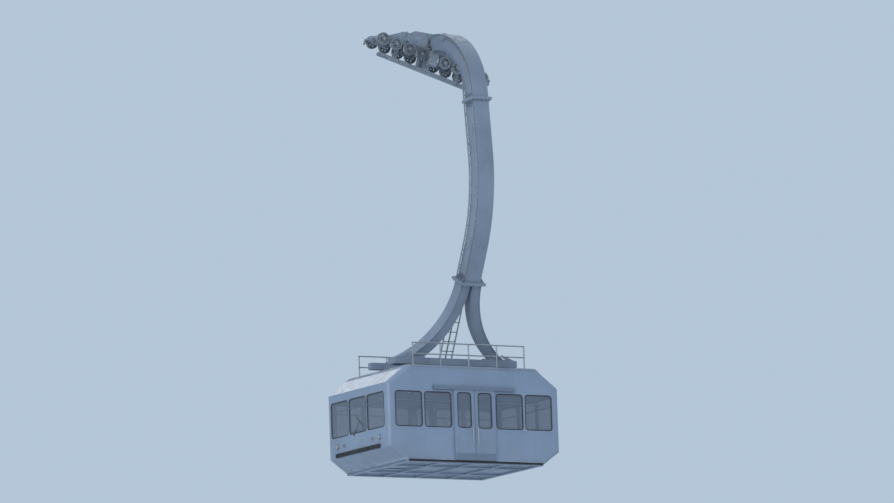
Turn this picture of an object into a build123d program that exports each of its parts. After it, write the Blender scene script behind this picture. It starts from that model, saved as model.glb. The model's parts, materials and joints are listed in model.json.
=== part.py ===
"""Aerial tramway car: an inclined carriage with eight balanced axles, a C-shaped
hanger and a low cabin with faceted ends. Millimetres, +Z up, +X downhill along the
track, +Y towards the support side. The origin lies on the track's centre line,
plumb below the hanger's pivot, midway between the two running lines."""

from build123d import *
from math import atan2, cos, degrees, radians, sin, tan
import os

# Track
track_incline = 17.0  # degrees, falling towards +X
track_gauge = 700.0  # between the two running lines
line_radius = 24.0

# Clearances
running_fit = 0.05  # radial, shaft in bore
seat_gap = 0.3  # between a piece and what it sits in
side_gap = 8.0  # between plates that swing past each other

# Wheels and axles
tread_radius = 160.0  # bottom of the groove
flange_radius = 190.0
groove_half_width = 32.0
wheel_width = 84.0
wheel_rim_depth = 22.0
wheel_web = 26.0
wheel_hub_radius = 66.0
wheel_hole_radius = 20.0
wheel_hole_count = 6
axle_radius = 30.0
axle_cap_radius = 44.0
axle_cap_length = 10.0

# Rockers, one for two axles
rocker_wheelbase = 440.0
rocker_rise = 120.0  # pivot above the axles
rocker_plate = 30.0
rocker_tube_radius = 55.0
rocker_eye_margin = 25.0  # metal around the pivot tube
rocker_boss_margin = 34.0  # metal around an axle
scraper_reach = 450.0  # from the rocker's pivot to the scraper's middle
scraper_length = 30.0
scraper_clearance = 10.0  # above the running line
scraper_width = 70.0
scraper_arm_height = 50.0

# Balance beams, one for two rockers
beam_half_span = 450.0
beam_rise = 256.0  # pivot above the rocker pivots
beam_plate = 30.0
beam_tube_radius = 65.0
beam_eye_margin = 30.0
beam_window_radius = 55.0
beam_window_offset = 185.0
beam_arch_radius = 62.0  # room over the inner axles as the rockers turn
beam_arch_end = 215.0  # from a rocker's pivot

# Main beam
main_half_span = 1070.0  # hanger pivot to balance beam pivot
main_half_width = 205.0
main_centre_radius = 230.0
main_end_radius = 110.0
main_web_inset = 12.0
main_flange = 22.0
main_rib = 16.0
main_rib_places = (-790.0, -430.0, 430.0, 790.0)
main_pad_half_length = 150.0
main_pad_depth = 20.0
pivot_height = 640.0  # hanger pivot above the running lines, square to them

# Pivot shaft and its sleeve
shaft_radius = 130.0
shaft_flange_radius = 215.0
shaft_flange = 40.0
shaft_cap_radius = 185.0
shaft_cap = 34.0
sleeve_radius = 250.0
sleeve_length = 420.0
sleeve_gap = 25.0  # from the axle ends to the sleeve
sleeve_end_gap = 8.0

# Track brake
brake_half_length = 125.0
brake_beam_depth = 130.0
brake_cheek = 65.0  # metal each side of the running line's slot
brake_slot_gap = 6.0
brake_reach = 45.0  # cheeks below the running line's centre
brake_canister_radius = 60.0
brake_canister_height = 85.0

# Haul drawbar
drawbar_half_length = 1500.0
drawbar_half_width = 60.0
drawbar_top = -130.0
drawbar_depth = 110.0
drawbar_post_half_length = 100.0
drawbar_strut_half_length = 50.0
drawbar_strut_half_width = 42.0
clevis_length = 100.0
clevis_ear = 30.0
clevis_pin_radius = 25.0
clevis_eye_radius = 55.0

# Hydraulic unit on the main beam
unit_length = 620.0
unit_width = 260.0
unit_height = 110.0
unit_place = -330.0

# Hanger girder, a C in the YZ plane
mast_top_reach = 2420.0
mast_bulge_reach = 2900.0
mast_bulge_drop = 4400.0
arm_straight = 114.0  # level run from the sleeve to the shoulder's bend
bulge_bend = 5000.0
girder_depth = 470.0
girder_width = 520.0
girder_flange = 26.0
girder_lip = 30.0
splice_run = 207.0  # straight run from the shoulder's bend to the first splice
fork_splice_drop = 6600.0
splice_plate = 40.0
splice_margin = 75.0

# Fork legs
leg_depth = 300.0
leg_thickness = 400.0
leg_root = 190.0  # centre line from the middle at the splice
fork_spread = 1500.0
leg_flange = 24.0
leg_lip = 24.0
leg_overrun = 6.0  # degrees of arc beyond the foot, cut off level

# Ladder on the hanger's inner side
ladder_half_width = 200.0
ladder_stand_off = 170.0
ladder_stringer = 60.0
ladder_stringer_thickness = 14.0
ladder_rung_radius = 14.0
ladder_rung_pitch = 300.0
ladder_top_drop = 700.0
ladder_foot_gap = 0.3
ladder_bracket = 40.0
ladder_upper_ties = (1700.0, 2600.0)  # depths under the track
ladder_lower_ties = (5700.0, 6200.0)

# Suspension frame and dampers
frame_depth = 200.0
near_beam_width = 460.0
far_beam_width = 220.0
frame_beam_reach = 650.0  # beams' middles from the cabin's middle
frame_half_length = 2050.0
cross_beam_width = 260.0
damper_height = 150.0
damper_radius = 150.0

# Cabin
hang_depth = 9130.0  # track line down to the roof
cabin_length = 5800.0
cabin_width = 3600.0
cabin_height = 2870.0
lower_slope_height = 430.0
lower_slope_inset = 600.0
upper_slope_height = 540.0
upper_slope_inset = 700.0
corner_radius = 130.0
wall = 60.0
roof_thickness = 100.0
floor_thickness = 120.0  # underframe and floor panel together
underframe_depth = 60.0
end_cap_depth = 190.0  # how far the end walls reach round the corners

# Underframe
sill_beam_width = 110.0
cross_member_width = 100.0
inner_beam_reach = 750.0  # inner beams' middles from the cabin's middle

# Windows
sill_height = 1050.0
window_head_margin = 250.0  # from the window tops to the upper slope
window_corner = 90.0
glass = 12.0
glass_inset = 14.0
window_pillar = 90.0  # between neighbouring side windows
door_pillar = 110.0  # from the doorway to the first window
end_margin = 260.0  # from the last side window to the cabin's end
end_pillar = 70.0  # between neighbouring end windows
end_window_margin = 220.0  # from the last end window to the cabin's side

# Doors
door_half_width = 650.0
door_head_rise = 70.0  # top of the doorway above the window tops
leaf_overlap = 40.0
leaf_gap = 3.0  # from the middle to a leaf's meeting edge
leaf_thickness = 42.0
leaf_stand_off = 10.0
leaf_lap = 25.0  # above the doorway
leaf_floor_gap = 29.0  # bottom edge below the floor
leaf_travel = 640.0
leaf_window_margin = 120.0
rail_bar_width = 30.0
rail_bar_height = 30.0
rail_bar_rise = 30.0  # above the leaf
hook_width = 90.0
hook_thickness = 12.0
hook_inset = 90.0
hood_thickness = 8.0
hood_clearance = 18.0
hood_end_gap = 40.0

# Rub rails, buffers and lamps
rub_rail_half_length = 2250.0
rub_rail_reach = 95.0
rub_rail_height = 63.0
rub_rail_rise = 20.0
buffer_half_width = 1300.0
buffer_height = 120.0
buffer_reach = 62.0
buffer_rise = 450.0
lamp_radius = 80.0
lamp_reach = 45.0
lamp_place = 1250.0
lamp_rise = 770.0

# Hatches
hatch_gap = 6.0
roof_hatch_length = 640.0
roof_hatch_width = 440.0
roof_hatch_middle = 300.0
roof_hatch_lid = 40.0
coaming_height = 60.0
coaming_wall = 20.0
floor_hatch_length = 700.0
floor_hatch_width = 700.0
floor_hatch_from_end = 1400.0  # to the hatch's middle
floor_hatch_lid = 40.0
floor_hatch_ledge = 36.0
hinge_places = (-0.3, 0.3)  # along the hatch's width, as a share of it
hinge_length = 60.0
hinge_radius = 11.0
hinge_pin_radius = 5.0
floor_hinge_radius = 8.0
floor_hinge_pin_radius = 3.5
hinge_side_gap = 1.0
hinge_stand_off = 5.0  # between a knuckle and what swings past it
floor_hinge_lift = 2.0

# Roof fittings
railing_reach = 1600.0
railing_half_length = 1900.0
railing_height = 700.0
railing_tube = 19.0
railing_posts = 5
equipment_length = 900.0
equipment_width = 520.0
equipment_height = 260.0
equipment_middle = 1120.0

# Inside
grab_reach = 700.0
grab_height = 2050.0
grab_half_length = 1900.0
grab_tube = 18.0
pole_place = 1400.0
wall_rail_height = 950.0
wall_rail_stand_off = 70.0
wall_rail_tube = 16.0
wall_rail_margin = 20.0
wall_rail_leg_radius = 11.0
locker_length = 360.0
locker_width = 600.0
locker_height = 1000.0
locker_side_gap = 300.0  # to the outer skin
locker_end_gap = 40.0
desk_slope_height = 160.0

# Heights and places that follow from the sizes above
axle_height = line_radius + tread_radius
rocker_height = axle_height + rocker_rise
beam_height = rocker_height + beam_rise
pivot_z = pivot_height / cos(radians(track_incline))
beam_inner = main_half_width + side_gap
beam_outer = beam_inner + beam_plate
rocker_inner = beam_outer + side_gap
rocker_outer = rocker_inner + rocker_plate
hub_inner = rocker_outer + side_gap
hub_outer = track_gauge - hub_inner
axle_end = hub_outer + axle_cap_length
sleeve_start = axle_end + sleeve_gap
sleeve_end = sleeve_start + sleeve_length
main_pad_z = pivot_height - main_centre_radius - main_pad_depth
main_end_pad_z = beam_height - main_end_radius - main_pad_depth
brake_beam_z = main_pad_z - brake_beam_depth

roof_z = -hang_depth
bottom_z = roof_z - cabin_height
floor_z = bottom_z + floor_thickness
frame_bottom_z = roof_z + damper_height
frame_top_z = frame_bottom_z + frame_depth
half_length = cabin_length / 2
half_width = cabin_width / 2
sill_z = bottom_z + sill_height
window_top_z = roof_z - upper_slope_height - window_head_margin
door_top_z = window_top_z + door_head_rise
leaf_bottom_z = floor_z - leaf_floor_gap
leaf_top_z = door_top_z + leaf_lap
floor_hatch_middle = floor_hatch_from_end - half_length
cross_member_reach = -floor_hatch_middle - floor_hatch_length / 2 - cross_member_width / 2
locker_middle = half_width - locker_side_gap - locker_width / 2
leaf_out = half_width + leaf_stand_off
leaf_edge = door_half_width + leaf_overlap

# Window openings as (from, to): side windows of one half, and end windows
window_run = (door_half_width + door_pillar, half_length - end_margin)
side_window_width = (window_run[1] - window_run[0] - window_pillar) / 2
side_window_ends = [(x, x + side_window_width) for x in (window_run[0], window_run[1] - side_window_width)]
end_window_width = (cabin_width - 2 * end_window_margin - 2 * end_pillar) / 3
end_window_middles = [n * (end_window_width + end_pillar) for n in (-1, 0, 1)]
end_window_ends = [(y - end_window_width / 2, y + end_window_width / 2) for y in end_window_middles]

# The eight axles, four rockers and two balance beams, from the uphill end
beam_places = (-main_half_span, main_half_span)
rocker_places = [x + s * beam_half_span for x in beam_places for s in (-1, 1)]
axle_places = [x + s * rocker_wheelbase / 2 for x in rocker_places for s in (-1, 1)]

# The girder's centre line: shoulder corner, bulge corner and foot, as (y, z)
shoulder = (-mast_top_reach, pivot_z)
bulge = (-mast_bulge_reach, -mast_bulge_drop)
foot = (-frame_beam_reach, frame_top_z)
mast_lean = atan2(shoulder[0] - bulge[0], shoulder[1] - bulge[1])
fork_lean = atan2(foot[0] - bulge[0], bulge[1] - foot[1])
shoulder_reach = mast_top_reach - sleeve_start - splice_plate - arm_straight
shoulder_bend = shoulder_reach / tan((radians(90) - mast_lean) / 2)
arm_splice_drop = shoulder_reach * cos(mast_lean) + splice_run - pivot_z


def block(x, y, z):
    """Box between (low, high) pairs."""
    size = [high - low for low, high in (x, y, z)]
    middle = [(high + low) / 2 for low, high in (x, y, z)]
    return Pos(*middle) * Box(*size)


def along_y(sketch, low, high):
    """Sketch in (x, z) made solid from y = low to y = high."""
    return extrude(Plane.XZ.offset(-high) * sketch, high - low)


def along_x(sketch, low, high):
    """Sketch in (y, z) made solid from x = low to x = high."""
    return extrude(Plane.YZ.offset(low) * sketch, high - low)


def rod_y(x, z, radius, low, high):
    return along_y(Pos(x, z) * Circle(radius), low, high)


def both_sides(shape):
    """The shape and its mirror image across the middle plane y = 0."""
    return shape + mirror(shape, about=Plane.XZ)


def hull_outline(discs):
    """Convex outline around discs given as (x, z, radius)."""
    circles = [Pos(x, z) * Circle(radius) for x, z, radius in discs]
    return make_hull([edge for circle in circles for edge in circle.edges()])


def on_carriage(shape):
    """Tips a shape, or each of a list, from the level carriage frame onto the inclined track."""
    if isinstance(shape, list):
        return [on_carriage(each) for each in shape]
    return Pos(0, 0, pivot_z) * Rot(0, track_incline, 0) * Pos(0, 0, -pivot_height) * shape


def carriage_point(x, z):
    """Where a point of the level carriage frame lies in the part's frame, as (x, z)."""
    turn = radians(track_incline)
    rise = z - pivot_height
    return (x * cos(turn) + rise * sin(turn), pivot_z - x * sin(turn) + rise * cos(turn))


def corner_of(first, second):
    """Crossing point of two lines, each (point, direction) in a plane."""
    (ax, ay), (ux, uy) = first
    (bx, by), (vx, vy) = second
    share = ((bx - ax) * vy - (by - ay) * vx) / (ux * vy - uy * vx)
    return (ax + share * ux, ay + share * uy)


# Carriage


def wheel_pair(x):
    """Two grooved wheels with their hub caps, and the axle between them; they turn as one."""
    half = wheel_width / 2
    rim_inner = tread_radius - wheel_rim_depth
    hub_low, hub_high = hub_inner - track_gauge / 2, hub_outer - track_gauge / 2
    cap_end = axle_end - track_gauge / 2
    outer_face = Polyline(
        (flange_radius, groove_half_width),
        (flange_radius, half),
        (rim_inner, half),
        (rim_inner, wheel_web / 2),
        (wheel_hub_radius, wheel_web / 2),
        (wheel_hub_radius, hub_high),
        (axle_cap_radius, hub_high),
        (axle_cap_radius, cap_end),
        (0, cap_end),
        (0, hub_low),
        (wheel_hub_radius, hub_low),
        (wheel_hub_radius, -wheel_web / 2),
        (rim_inner, -wheel_web / 2),
        (rim_inner, -half),
        (flange_radius, -half),
        (flange_radius, -groove_half_width),
    )
    groove = ThreePointArc(
        (flange_radius, -groove_half_width), (tread_radius, 0), (flange_radius, groove_half_width)
    )
    wheel = revolve(make_face([*outer_face.edges(), *groove.edges()]), Axis.Y)
    hole_circle = (wheel_hub_radius + rim_inner) / 2
    for n in range(wheel_hole_count):
        angle = 2 * radians(180) * n / wheel_hole_count
        wheel -= rod_y(
            hole_circle * cos(angle), hole_circle * sin(angle), wheel_hole_radius, -half, half
        )
    far = Pos(0, track_gauge / 2, 0) * wheel
    axle = rod_y(0, 0, axle_radius, -hub_inner, hub_inner)
    return [Pos(x, 0, axle_height) * each for each in (axle, far, mirror(far, about=Plane.XZ))]


def rocker(x, outward=0):
    """Two side plates on a pivot tube; an end rocker also carries scrapers."""
    boss = axle_radius + rocker_boss_margin
    eye = rocker_tube_radius + rocker_eye_margin
    half = rocker_wheelbase / 2
    outline = hull_outline([(-half, axle_height, boss), (half, axle_height, boss), (0, rocker_height, eye)])
    for side in (-1, 1):
        outline -= Pos(side * half, axle_height) * Circle(axle_radius + running_fit)
    body = both_sides(along_y(outline, rocker_inner, rocker_outer))
    body += rod_y(0, rocker_height, rocker_tube_radius, -rocker_inner, rocker_inner)
    if outward:
        low, high = axle_height - scraper_arm_height / 2, axle_height + scraper_arm_height / 2
        root = outward * (half + boss / 2)
        tip = outward * (scraper_reach + scraper_length / 2)
        back = outward * (scraper_reach - scraper_length / 2)
        arm = block(sorted((root, tip)), (rocker_inner, rocker_outer), (low, high))
        side_bar = block(
            sorted((back, tip)), (0, (track_gauge + scraper_width) / 2), (low, high)
        )
        blade = block(
            sorted((back, tip)),
            ((track_gauge - scraper_width) / 2, (track_gauge + scraper_width) / 2),
            (line_radius + scraper_clearance, low),
        )
        body += both_sides(arm + side_bar + blade)
    return Pos(x, 0, 0) * body


def balance_beam(x):
    """Two triangular plates on a pivot tube, with bores for the rockers' tubes."""
    eye = rocker_tube_radius + beam_eye_margin
    outline = hull_outline(
        [
            (-beam_half_span, rocker_height, eye),
            (beam_half_span, rocker_height, eye),
            (0, beam_height, beam_tube_radius + beam_eye_margin),
        ]
    )
    window_z = rocker_height + beam_rise / 3
    for side in (-1, 1):
        outline -= Pos(side * beam_half_span, rocker_height) * Circle(rocker_tube_radius + running_fit)
        outline -= Pos(side * beam_window_offset, window_z) * Circle(beam_window_radius)
    arch_end = beam_half_span - beam_arch_end
    outline -= hull_outline([(x, rocker_height - eye, beam_arch_radius) for x in (-arch_end, arch_end)])
    body = both_sides(along_y(outline, beam_inner, beam_outer))
    body += rod_y(0, beam_height, beam_tube_radius, -beam_inner, beam_inner)
    return Pos(x, 0, 0) * body


def main_beam():
    """Lens-shaped box girder with sunk webs, ribs and pads for what hangs below."""
    discs = [
        (-main_half_span, beam_height, main_end_radius),
        (0, pivot_height, main_centre_radius),
        (main_half_span, beam_height, main_end_radius),
    ]
    outline = hull_outline(discs)
    sunk = hull_outline([(x, z, r - main_flange) for x, z, r in discs])
    body = along_y(outline, -main_half_width, main_half_width)
    pocket = along_y(sunk, main_half_width - main_web_inset, main_half_width)
    for x, z, radius in ((discs[0]), (discs[2]), (0, pivot_height, shaft_flange_radius)):
        pocket -= rod_y(x, z, radius, main_half_width - main_web_inset, main_half_width)
    for x in main_rib_places:
        pocket -= block((x - main_rib / 2, x + main_rib / 2), (0, main_half_width), (0, 2 * pivot_height))
    body -= both_sides(pocket)
    body += block(
        (-main_pad_half_length, main_pad_half_length),
        (-main_half_width, main_half_width),
        (main_pad_z, main_pad_z + 2 * main_pad_depth),
    )
    for x in beam_places:
        body += block(
            (x - drawbar_strut_half_length, x + drawbar_strut_half_length),
            (-drawbar_half_width, drawbar_half_width),
            (main_end_pad_z, main_end_pad_z + 2 * main_pad_depth),
        )
        body -= rod_y(x, beam_height, beam_tube_radius + running_fit, -main_half_width, main_half_width)
    return body


def pivot_shaft():
    """Stub shaft flanged to the main beam's near side, with its retaining cap."""
    face = -main_half_width
    body = rod_y(0, pivot_height, shaft_flange_radius, face - shaft_flange, face)
    cap_start = -(sleeve_end + sleeve_end_gap)
    body += rod_y(0, pivot_height, shaft_radius, cap_start, face)
    body += rod_y(0, pivot_height, shaft_cap_radius, cap_start - shaft_cap, cap_start)
    return body


def track_brake():
    """Cross beam under the main beam with a brake caliper over each running line."""
    slot = line_radius + brake_slot_gap
    lane = track_gauge / 2
    reach = lane + slot + brake_cheek
    span = (-brake_half_length, brake_half_length)
    body = block(span, (-reach, reach), (brake_beam_z, main_pad_z))
    caliper = block(span, (lane - slot - brake_cheek, reach), (-brake_reach, brake_beam_z))
    caliper -= block(span, (lane - slot, lane + slot), (-brake_reach, line_radius + scraper_clearance))
    caliper += Pos(0, lane, main_pad_z + brake_canister_height / 2) * Cylinder(
        brake_canister_radius, brake_canister_height
    )
    return body + both_sides(caliper)


def haul_drawbar():
    """Bar between the running lines, hung from the carriage, with a clevis at each end."""
    top, low = drawbar_top, drawbar_top - drawbar_depth
    width = (-drawbar_half_width, drawbar_half_width)
    body = block((-drawbar_half_length, drawbar_half_length), width, (low, top))
    body += block((-drawbar_post_half_length, drawbar_post_half_length), width, (top, brake_beam_z))
    middle = (top + low) / 2
    for side, x in zip((-1, 1), beam_places):
        body += block(
            (x - drawbar_strut_half_length, x + drawbar_strut_half_length),
            (-drawbar_strut_half_width, drawbar_strut_half_width),
            (top, main_end_pad_z),
        )
        pin_x = side * (drawbar_half_length + clevis_length)
        ends = sorted((side * (drawbar_half_length - clevis_eye_radius), pin_x))
        outline = Pos(sum(ends) / 2, middle) * Rectangle(ends[1] - ends[0], 2 * clevis_eye_radius)
        outline += Pos(pin_x, middle) * Circle(clevis_eye_radius)
        outline -= Pos(pin_x, middle) * Circle(clevis_pin_radius)
        body += both_sides(along_y(outline, drawbar_half_width - clevis_ear, drawbar_half_width))
    return body


def hydraulic_unit():
    """Brake power pack, seated on the main beam's sloping top."""
    top = pivot_height + main_centre_radius
    slope = degrees(atan2(top - beam_height - main_end_radius, main_half_span))
    x, y = (-unit_length / 2, unit_length / 2), (-unit_width / 2, unit_width / 2)
    body = block(x, y, (-main_centre_radius, unit_height))
    body = Pos(unit_place, 0, top + unit_place * tan(radians(slope))) * Rot(0, -slope, 0) * body
    hull = hull_outline(
        [(-main_half_span, beam_height, main_end_radius), (0, pivot_height, main_centre_radius)]
    )
    return body - along_y(hull, -main_half_width, main_half_width)


# Hanger


def girder_points(shift):
    """Shoulder and bulge corners of the girder's centre line moved inwards by shift."""
    mast = (-sin(mast_lean), -cos(mast_lean))
    fork = (sin(fork_lean), -cos(fork_lean))
    upper = ((0, pivot_z - shift), (-1, 0))
    middle = ((bulge[0] + shift * cos(mast_lean), bulge[1] - shift * sin(mast_lean)), mast)
    lower = ((bulge[0] + shift * cos(fork_lean), bulge[1] + shift * sin(fork_lean)), fork)
    return corner_of(upper, middle), corner_of(middle, lower), mast, fork


def down_mast(drop, shift=0.0):
    """Point of the upper mast line at a depth under the track, as (y, z)."""
    corner, _, _, _ = girder_points(shift)
    return (corner[0] - (corner[1] + drop) * tan(mast_lean), -drop)


def down_fork(drop, shift=0.0):
    """Point of the lower mast line at a depth under the track, as (y, z)."""
    _, corner, _, _ = girder_points(shift)
    return (corner[0] + (drop + corner[1]) * tan(fork_lean), -drop)


def in_yz(point, x=0.0):
    return (x, point[0], point[1])


def box_girder(path, start, direction):
    """Box section with lipped flanges, swept along a path in the YZ plane."""
    plane = Plane(origin=start, x_dir=(1, 0, 0), z_dir=direction)
    web_width = girder_width - 2 * girder_lip
    flange_place = (girder_depth - girder_flange) / 2
    body = sweep(plane * Rectangle(web_width, girder_depth), path=path)
    for side in (-1, 1):
        flange = plane * Pos(0, side * flange_place) * Rectangle(girder_width, girder_flange)
        body += sweep(flange, path=path)
    return body


def splice(point, direction, half_x):
    """Bolting plate square to the girder, with its joint face at point."""
    plane = Plane(origin=in_yz(point), x_dir=(1, 0, 0), z_dir=(0, *direction))
    plate = Box(2 * half_x, girder_depth + 2 * splice_margin, splice_plate)
    return plane * Pos(0, 0, splice_plate / 2) * plate


def hanger_arm():
    """Sleeve on the pivot shaft and the rounded shoulder, down to the first splice."""
    corner, _, mast, _ = girder_points(0)
    end = down_mast(arm_splice_drop)
    start = (-sleeve_start - splice_plate, pivot_z)
    path = FilletPolyline(in_yz(start), in_yz(corner), in_yz(end), radius=shoulder_bend)
    body = box_girder(path, in_yz(start), (0, -1, 0))
    body += rod_y(0, pivot_z, sleeve_radius, -sleeve_end, -sleeve_start)
    body += splice(end, (-mast[0], -mast[1]), girder_width / 2 + splice_margin)
    body -= rod_y(0, pivot_z, shaft_radius + running_fit, -sleeve_end, -sleeve_start)
    cap_room = shaft_cap_radius + sleeve_end_gap
    body -= rod_y(0, pivot_z, cap_room, -(sleeve_end + shaft_cap + 2 * sleeve_end_gap), -sleeve_end)
    return body


def hanger_mast():
    """Bulging middle of the C, between its two splices."""
    _, corner, mast, fork = girder_points(0)
    start, end = down_mast(arm_splice_drop), down_fork(fork_splice_drop)
    path = FilletPolyline(in_yz(start), in_yz(corner), in_yz(end), radius=bulge_bend)
    body = box_girder(path, in_yz(start), (0, *mast))
    body += splice(start, mast, girder_width / 2 + splice_margin)
    body += splice(end, (-fork[0], -fork[1]), leg_root + leg_depth / 2 + splice_margin)
    return body


def fork_leg(side):
    """Curved leg from the lower splice out to the suspension frame."""
    _, _, _, fork = girder_points(0)
    root = down_fork(fork_splice_drop)
    drop = (root[1] - frame_top_z) / cos(fork_lean)
    turn = 2 * atan2(fork_spread - leg_root, drop)
    bend = drop / sin(turn)
    sweep_angle = degrees(turn) + leg_overrun
    across = (0, side * cos(fork_lean), side * sin(fork_lean))
    plane = Plane(origin=in_yz(root), x_dir=(side, 0, 0), z_dir=across)

    def band(inner, outer, half_thickness):
        centre = (leg_root + bend, 0)
        arcs = [CenterArc(centre, bend + r, 180, -sweep_angle) for r in (inner, outer)]
        sides = [Line(arcs[0] @ at, arcs[1] @ at) for at in (0, 1)]
        return extrude(plane * make_face([*arcs, *sides]), half_thickness, both=True)

    half = leg_depth / 2
    body = band(-half, half, leg_thickness / 2 - leg_lip)
    body += band(half - leg_flange, half, leg_thickness / 2)
    body += band(-half, leg_flange - half, leg_thickness / 2)
    head = (side_gap, leg_root + half + splice_margin)
    depth = girder_depth + 2 * splice_margin
    body += plane * Pos(sum(head) / 2, splice_plate / 2, 0) * Box(head[1] - head[0], splice_plate, depth)
    reach = cabin_length
    body -= block((-reach, reach), (-reach, reach), (frame_top_z - reach, frame_top_z))
    return body


def hanger_ladder():
    """Two stringers and rungs that follow the girder's inner side down to the roof."""
    shift = girder_depth / 2 + ladder_stand_off
    _, corner, mast, fork = girder_points(shift)
    start = down_mast(ladder_top_drop, shift)
    end = down_fork(hang_depth - ladder_foot_gap - ladder_stringer / 2 * sin(fork_lean), shift)
    path = FilletPolyline(in_yz(start), in_yz(corner), in_yz(end), radius=bulge_bend - shift)
    pieces = []
    for stretch in path.edges():
        tangent = stretch.tangent_at(0)
        plane = Plane(origin=stretch.position_at(0), x_dir=(1, 0, 0), z_dir=tangent)
        section = Rectangle(ladder_stringer_thickness, ladder_stringer)
        for side in (-1, 1):
            bar = plane * Pos(side * ladder_half_width, 0) * section
            pieces.append(sweep(bar, path=Wire([stretch])))
    run = path.length
    rung = 2 * ladder_half_width - ladder_stringer_thickness
    for n in range(int(run / ladder_rung_pitch)):
        spot = path.position_at((n + 0.5) * ladder_rung_pitch / run)
        pieces.append(Pos(spot.X, spot.Y, spot.Z) * Rot(0, 90, 0) * Cylinder(ladder_rung_radius, rung))
    brackets = [(drop, down_mast, mast_lean) for drop in ladder_upper_ties]
    brackets += [(drop, down_fork, -fork_lean) for drop in ladder_lower_ties]
    inner = ladder_half_width - ladder_stringer_thickness / 2
    for drop, line, lean in brackets:
        reach = ladder_stand_off + ladder_stringer / 2 - seat_gap
        spot = line(drop, girder_depth / 2 + seat_gap + reach / 2)
        tie = Box(ladder_bracket, reach, ladder_bracket)
        for side in (-1, 1):
            x = side * (inner - ladder_bracket / 2)
            pieces.append(Pos(x, spot[0], spot[1]) * Rot(-degrees(lean), 0, 0) * tie)
    return pieces


def suspension_beams():
    """Two beams along the roof; the fork stands on the near one."""
    z = (frame_bottom_z, frame_top_z)
    x = (-frame_half_length, frame_half_length)
    near, far = near_beam_width / 2, far_beam_width / 2
    return [
        block(x, (-frame_beam_reach - near, -frame_beam_reach + near), z),
        block(x, (frame_beam_reach - far, frame_beam_reach + far), z),
    ]


def suspension_cross_beams():
    z = (frame_bottom_z, frame_top_z)
    y = (-frame_beam_reach + near_beam_width / 2, frame_beam_reach - far_beam_width / 2)
    half = cross_beam_width / 2
    return [block((x - half, x + half), y, z) for x in (-fork_spread, fork_spread)]


def suspension_dampers():
    """Four rubber blocks between the frame and the roof."""
    post = Cylinder(damper_radius, damper_height)
    places = [(x, y) for x in (-fork_spread, fork_spread) for y in (-frame_beam_reach, frame_beam_reach)]
    return [Pos(x, y, roof_z + damper_height / 2) * post for x, y in places]


# Cabin


def cabin_outline(ends, top, bottom):
    """Side outline in (x, z), moved in by ends, top and bottom from the outer skin."""
    upper_z = roof_z - upper_slope_height
    lower_z = bottom_z + lower_slope_height
    upper_turn = atan2(upper_slope_inset, upper_slope_height)
    lower_turn = atan2(lower_slope_inset, lower_slope_height)
    belt = ((half_length - ends, 0.0), (0.0, 1.0))
    upper = (
        (half_length - ends * cos(upper_turn), upper_z - ends * sin(upper_turn)),
        (-sin(upper_turn), cos(upper_turn)),
    )
    lower = (
        (half_length - ends * cos(lower_turn), lower_z + ends * sin(lower_turn)),
        (-sin(lower_turn), -cos(lower_turn)),
    )
    roof = ((0.0, roof_z - top), (1.0, 0.0))
    base = ((0.0, bottom_z + bottom), (1.0, 0.0))
    right = [corner_of(base, lower), corner_of(lower, belt), corner_of(belt, upper), corner_of(upper, roof)]
    left = [(-x, z) for x, z in reversed(right)]
    return make_face(Polyline(*right, *left, close=True))


def cabin_hull(ends, top, bottom, half, radius):
    """Closed cabin body with rounded corners where the end facets meet the sides."""
    body = along_y(cabin_outline(ends, top, bottom), -half, half)
    corners = [
        edge
        for edge in body.edges()
        if abs(abs(edge.center().Y) - half) < 1 and abs(edge.center().X) > half_length / 2
    ]
    return fillet(corners, radius)


def cabin_shell():
    outer = cabin_hull(0, 0, underframe_depth, half_width, corner_radius)
    inner = cabin_hull(wall, roof_thickness, floor_thickness, half_width - wall, corner_radius - wall)
    return outer - inner


def underframe():
    """Side and end sills flush with the floor's outline, two inner beams and cross members."""
    z = (bottom_z, bottom_z + underframe_depth)
    end = half_length - lower_slope_inset
    inner_end = end - sill_beam_width
    sill = half_width - sill_beam_width
    beam = (inner_beam_reach - cross_member_width / 2, inner_beam_reach + cross_member_width / 2)
    half = cross_member_width / 2
    pieces = []
    for side in (-1, 1):
        pieces.append(block((-end, end), sorted((side * sill, side * half_width)), z))
        pieces.append(block((-inner_end, inner_end), sorted((side * beam[0], side * beam[1])), z))
        pieces.append(block(sorted((side * inner_end, side * end)), (-sill, sill), z))
    for x in (-cross_member_reach, 0, cross_member_reach):
        for y in ((-sill, -beam[1]), (-beam[0], beam[0]), (beam[1], sill)):
            pieces.append(block((x - half, x + half), y, z))
    return pieces


def rounded_window(low, high, bottom, top, gap=0.0, corner=window_corner):
    """Window outline, made smaller all round by gap."""
    width, height = high - low - 2 * gap, top - bottom - 2 * gap
    return Pos((low + high) / 2, (bottom + top) / 2) * RectangleRounded(width, height, corner - gap)


def side_windows():
    """Openings of one long side, as (low x, high x)."""
    ends = [(low, high) for low, high in side_window_ends]
    return [(-high, -low) for low, high in ends] + ends


def roof_hatch_box(margin, z):
    half_x, half_y = roof_hatch_length / 2 + margin, roof_hatch_width / 2 + margin
    return block((-half_x, half_x), (roof_hatch_middle - half_y, roof_hatch_middle + half_y), z)


def floor_hatch_box(margin, z):
    half_x, half_y = floor_hatch_length / 2 + margin, floor_hatch_width / 2 + margin
    return block((floor_hatch_middle - half_x, floor_hatch_middle + half_x), (-half_y, half_y), z)


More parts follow.
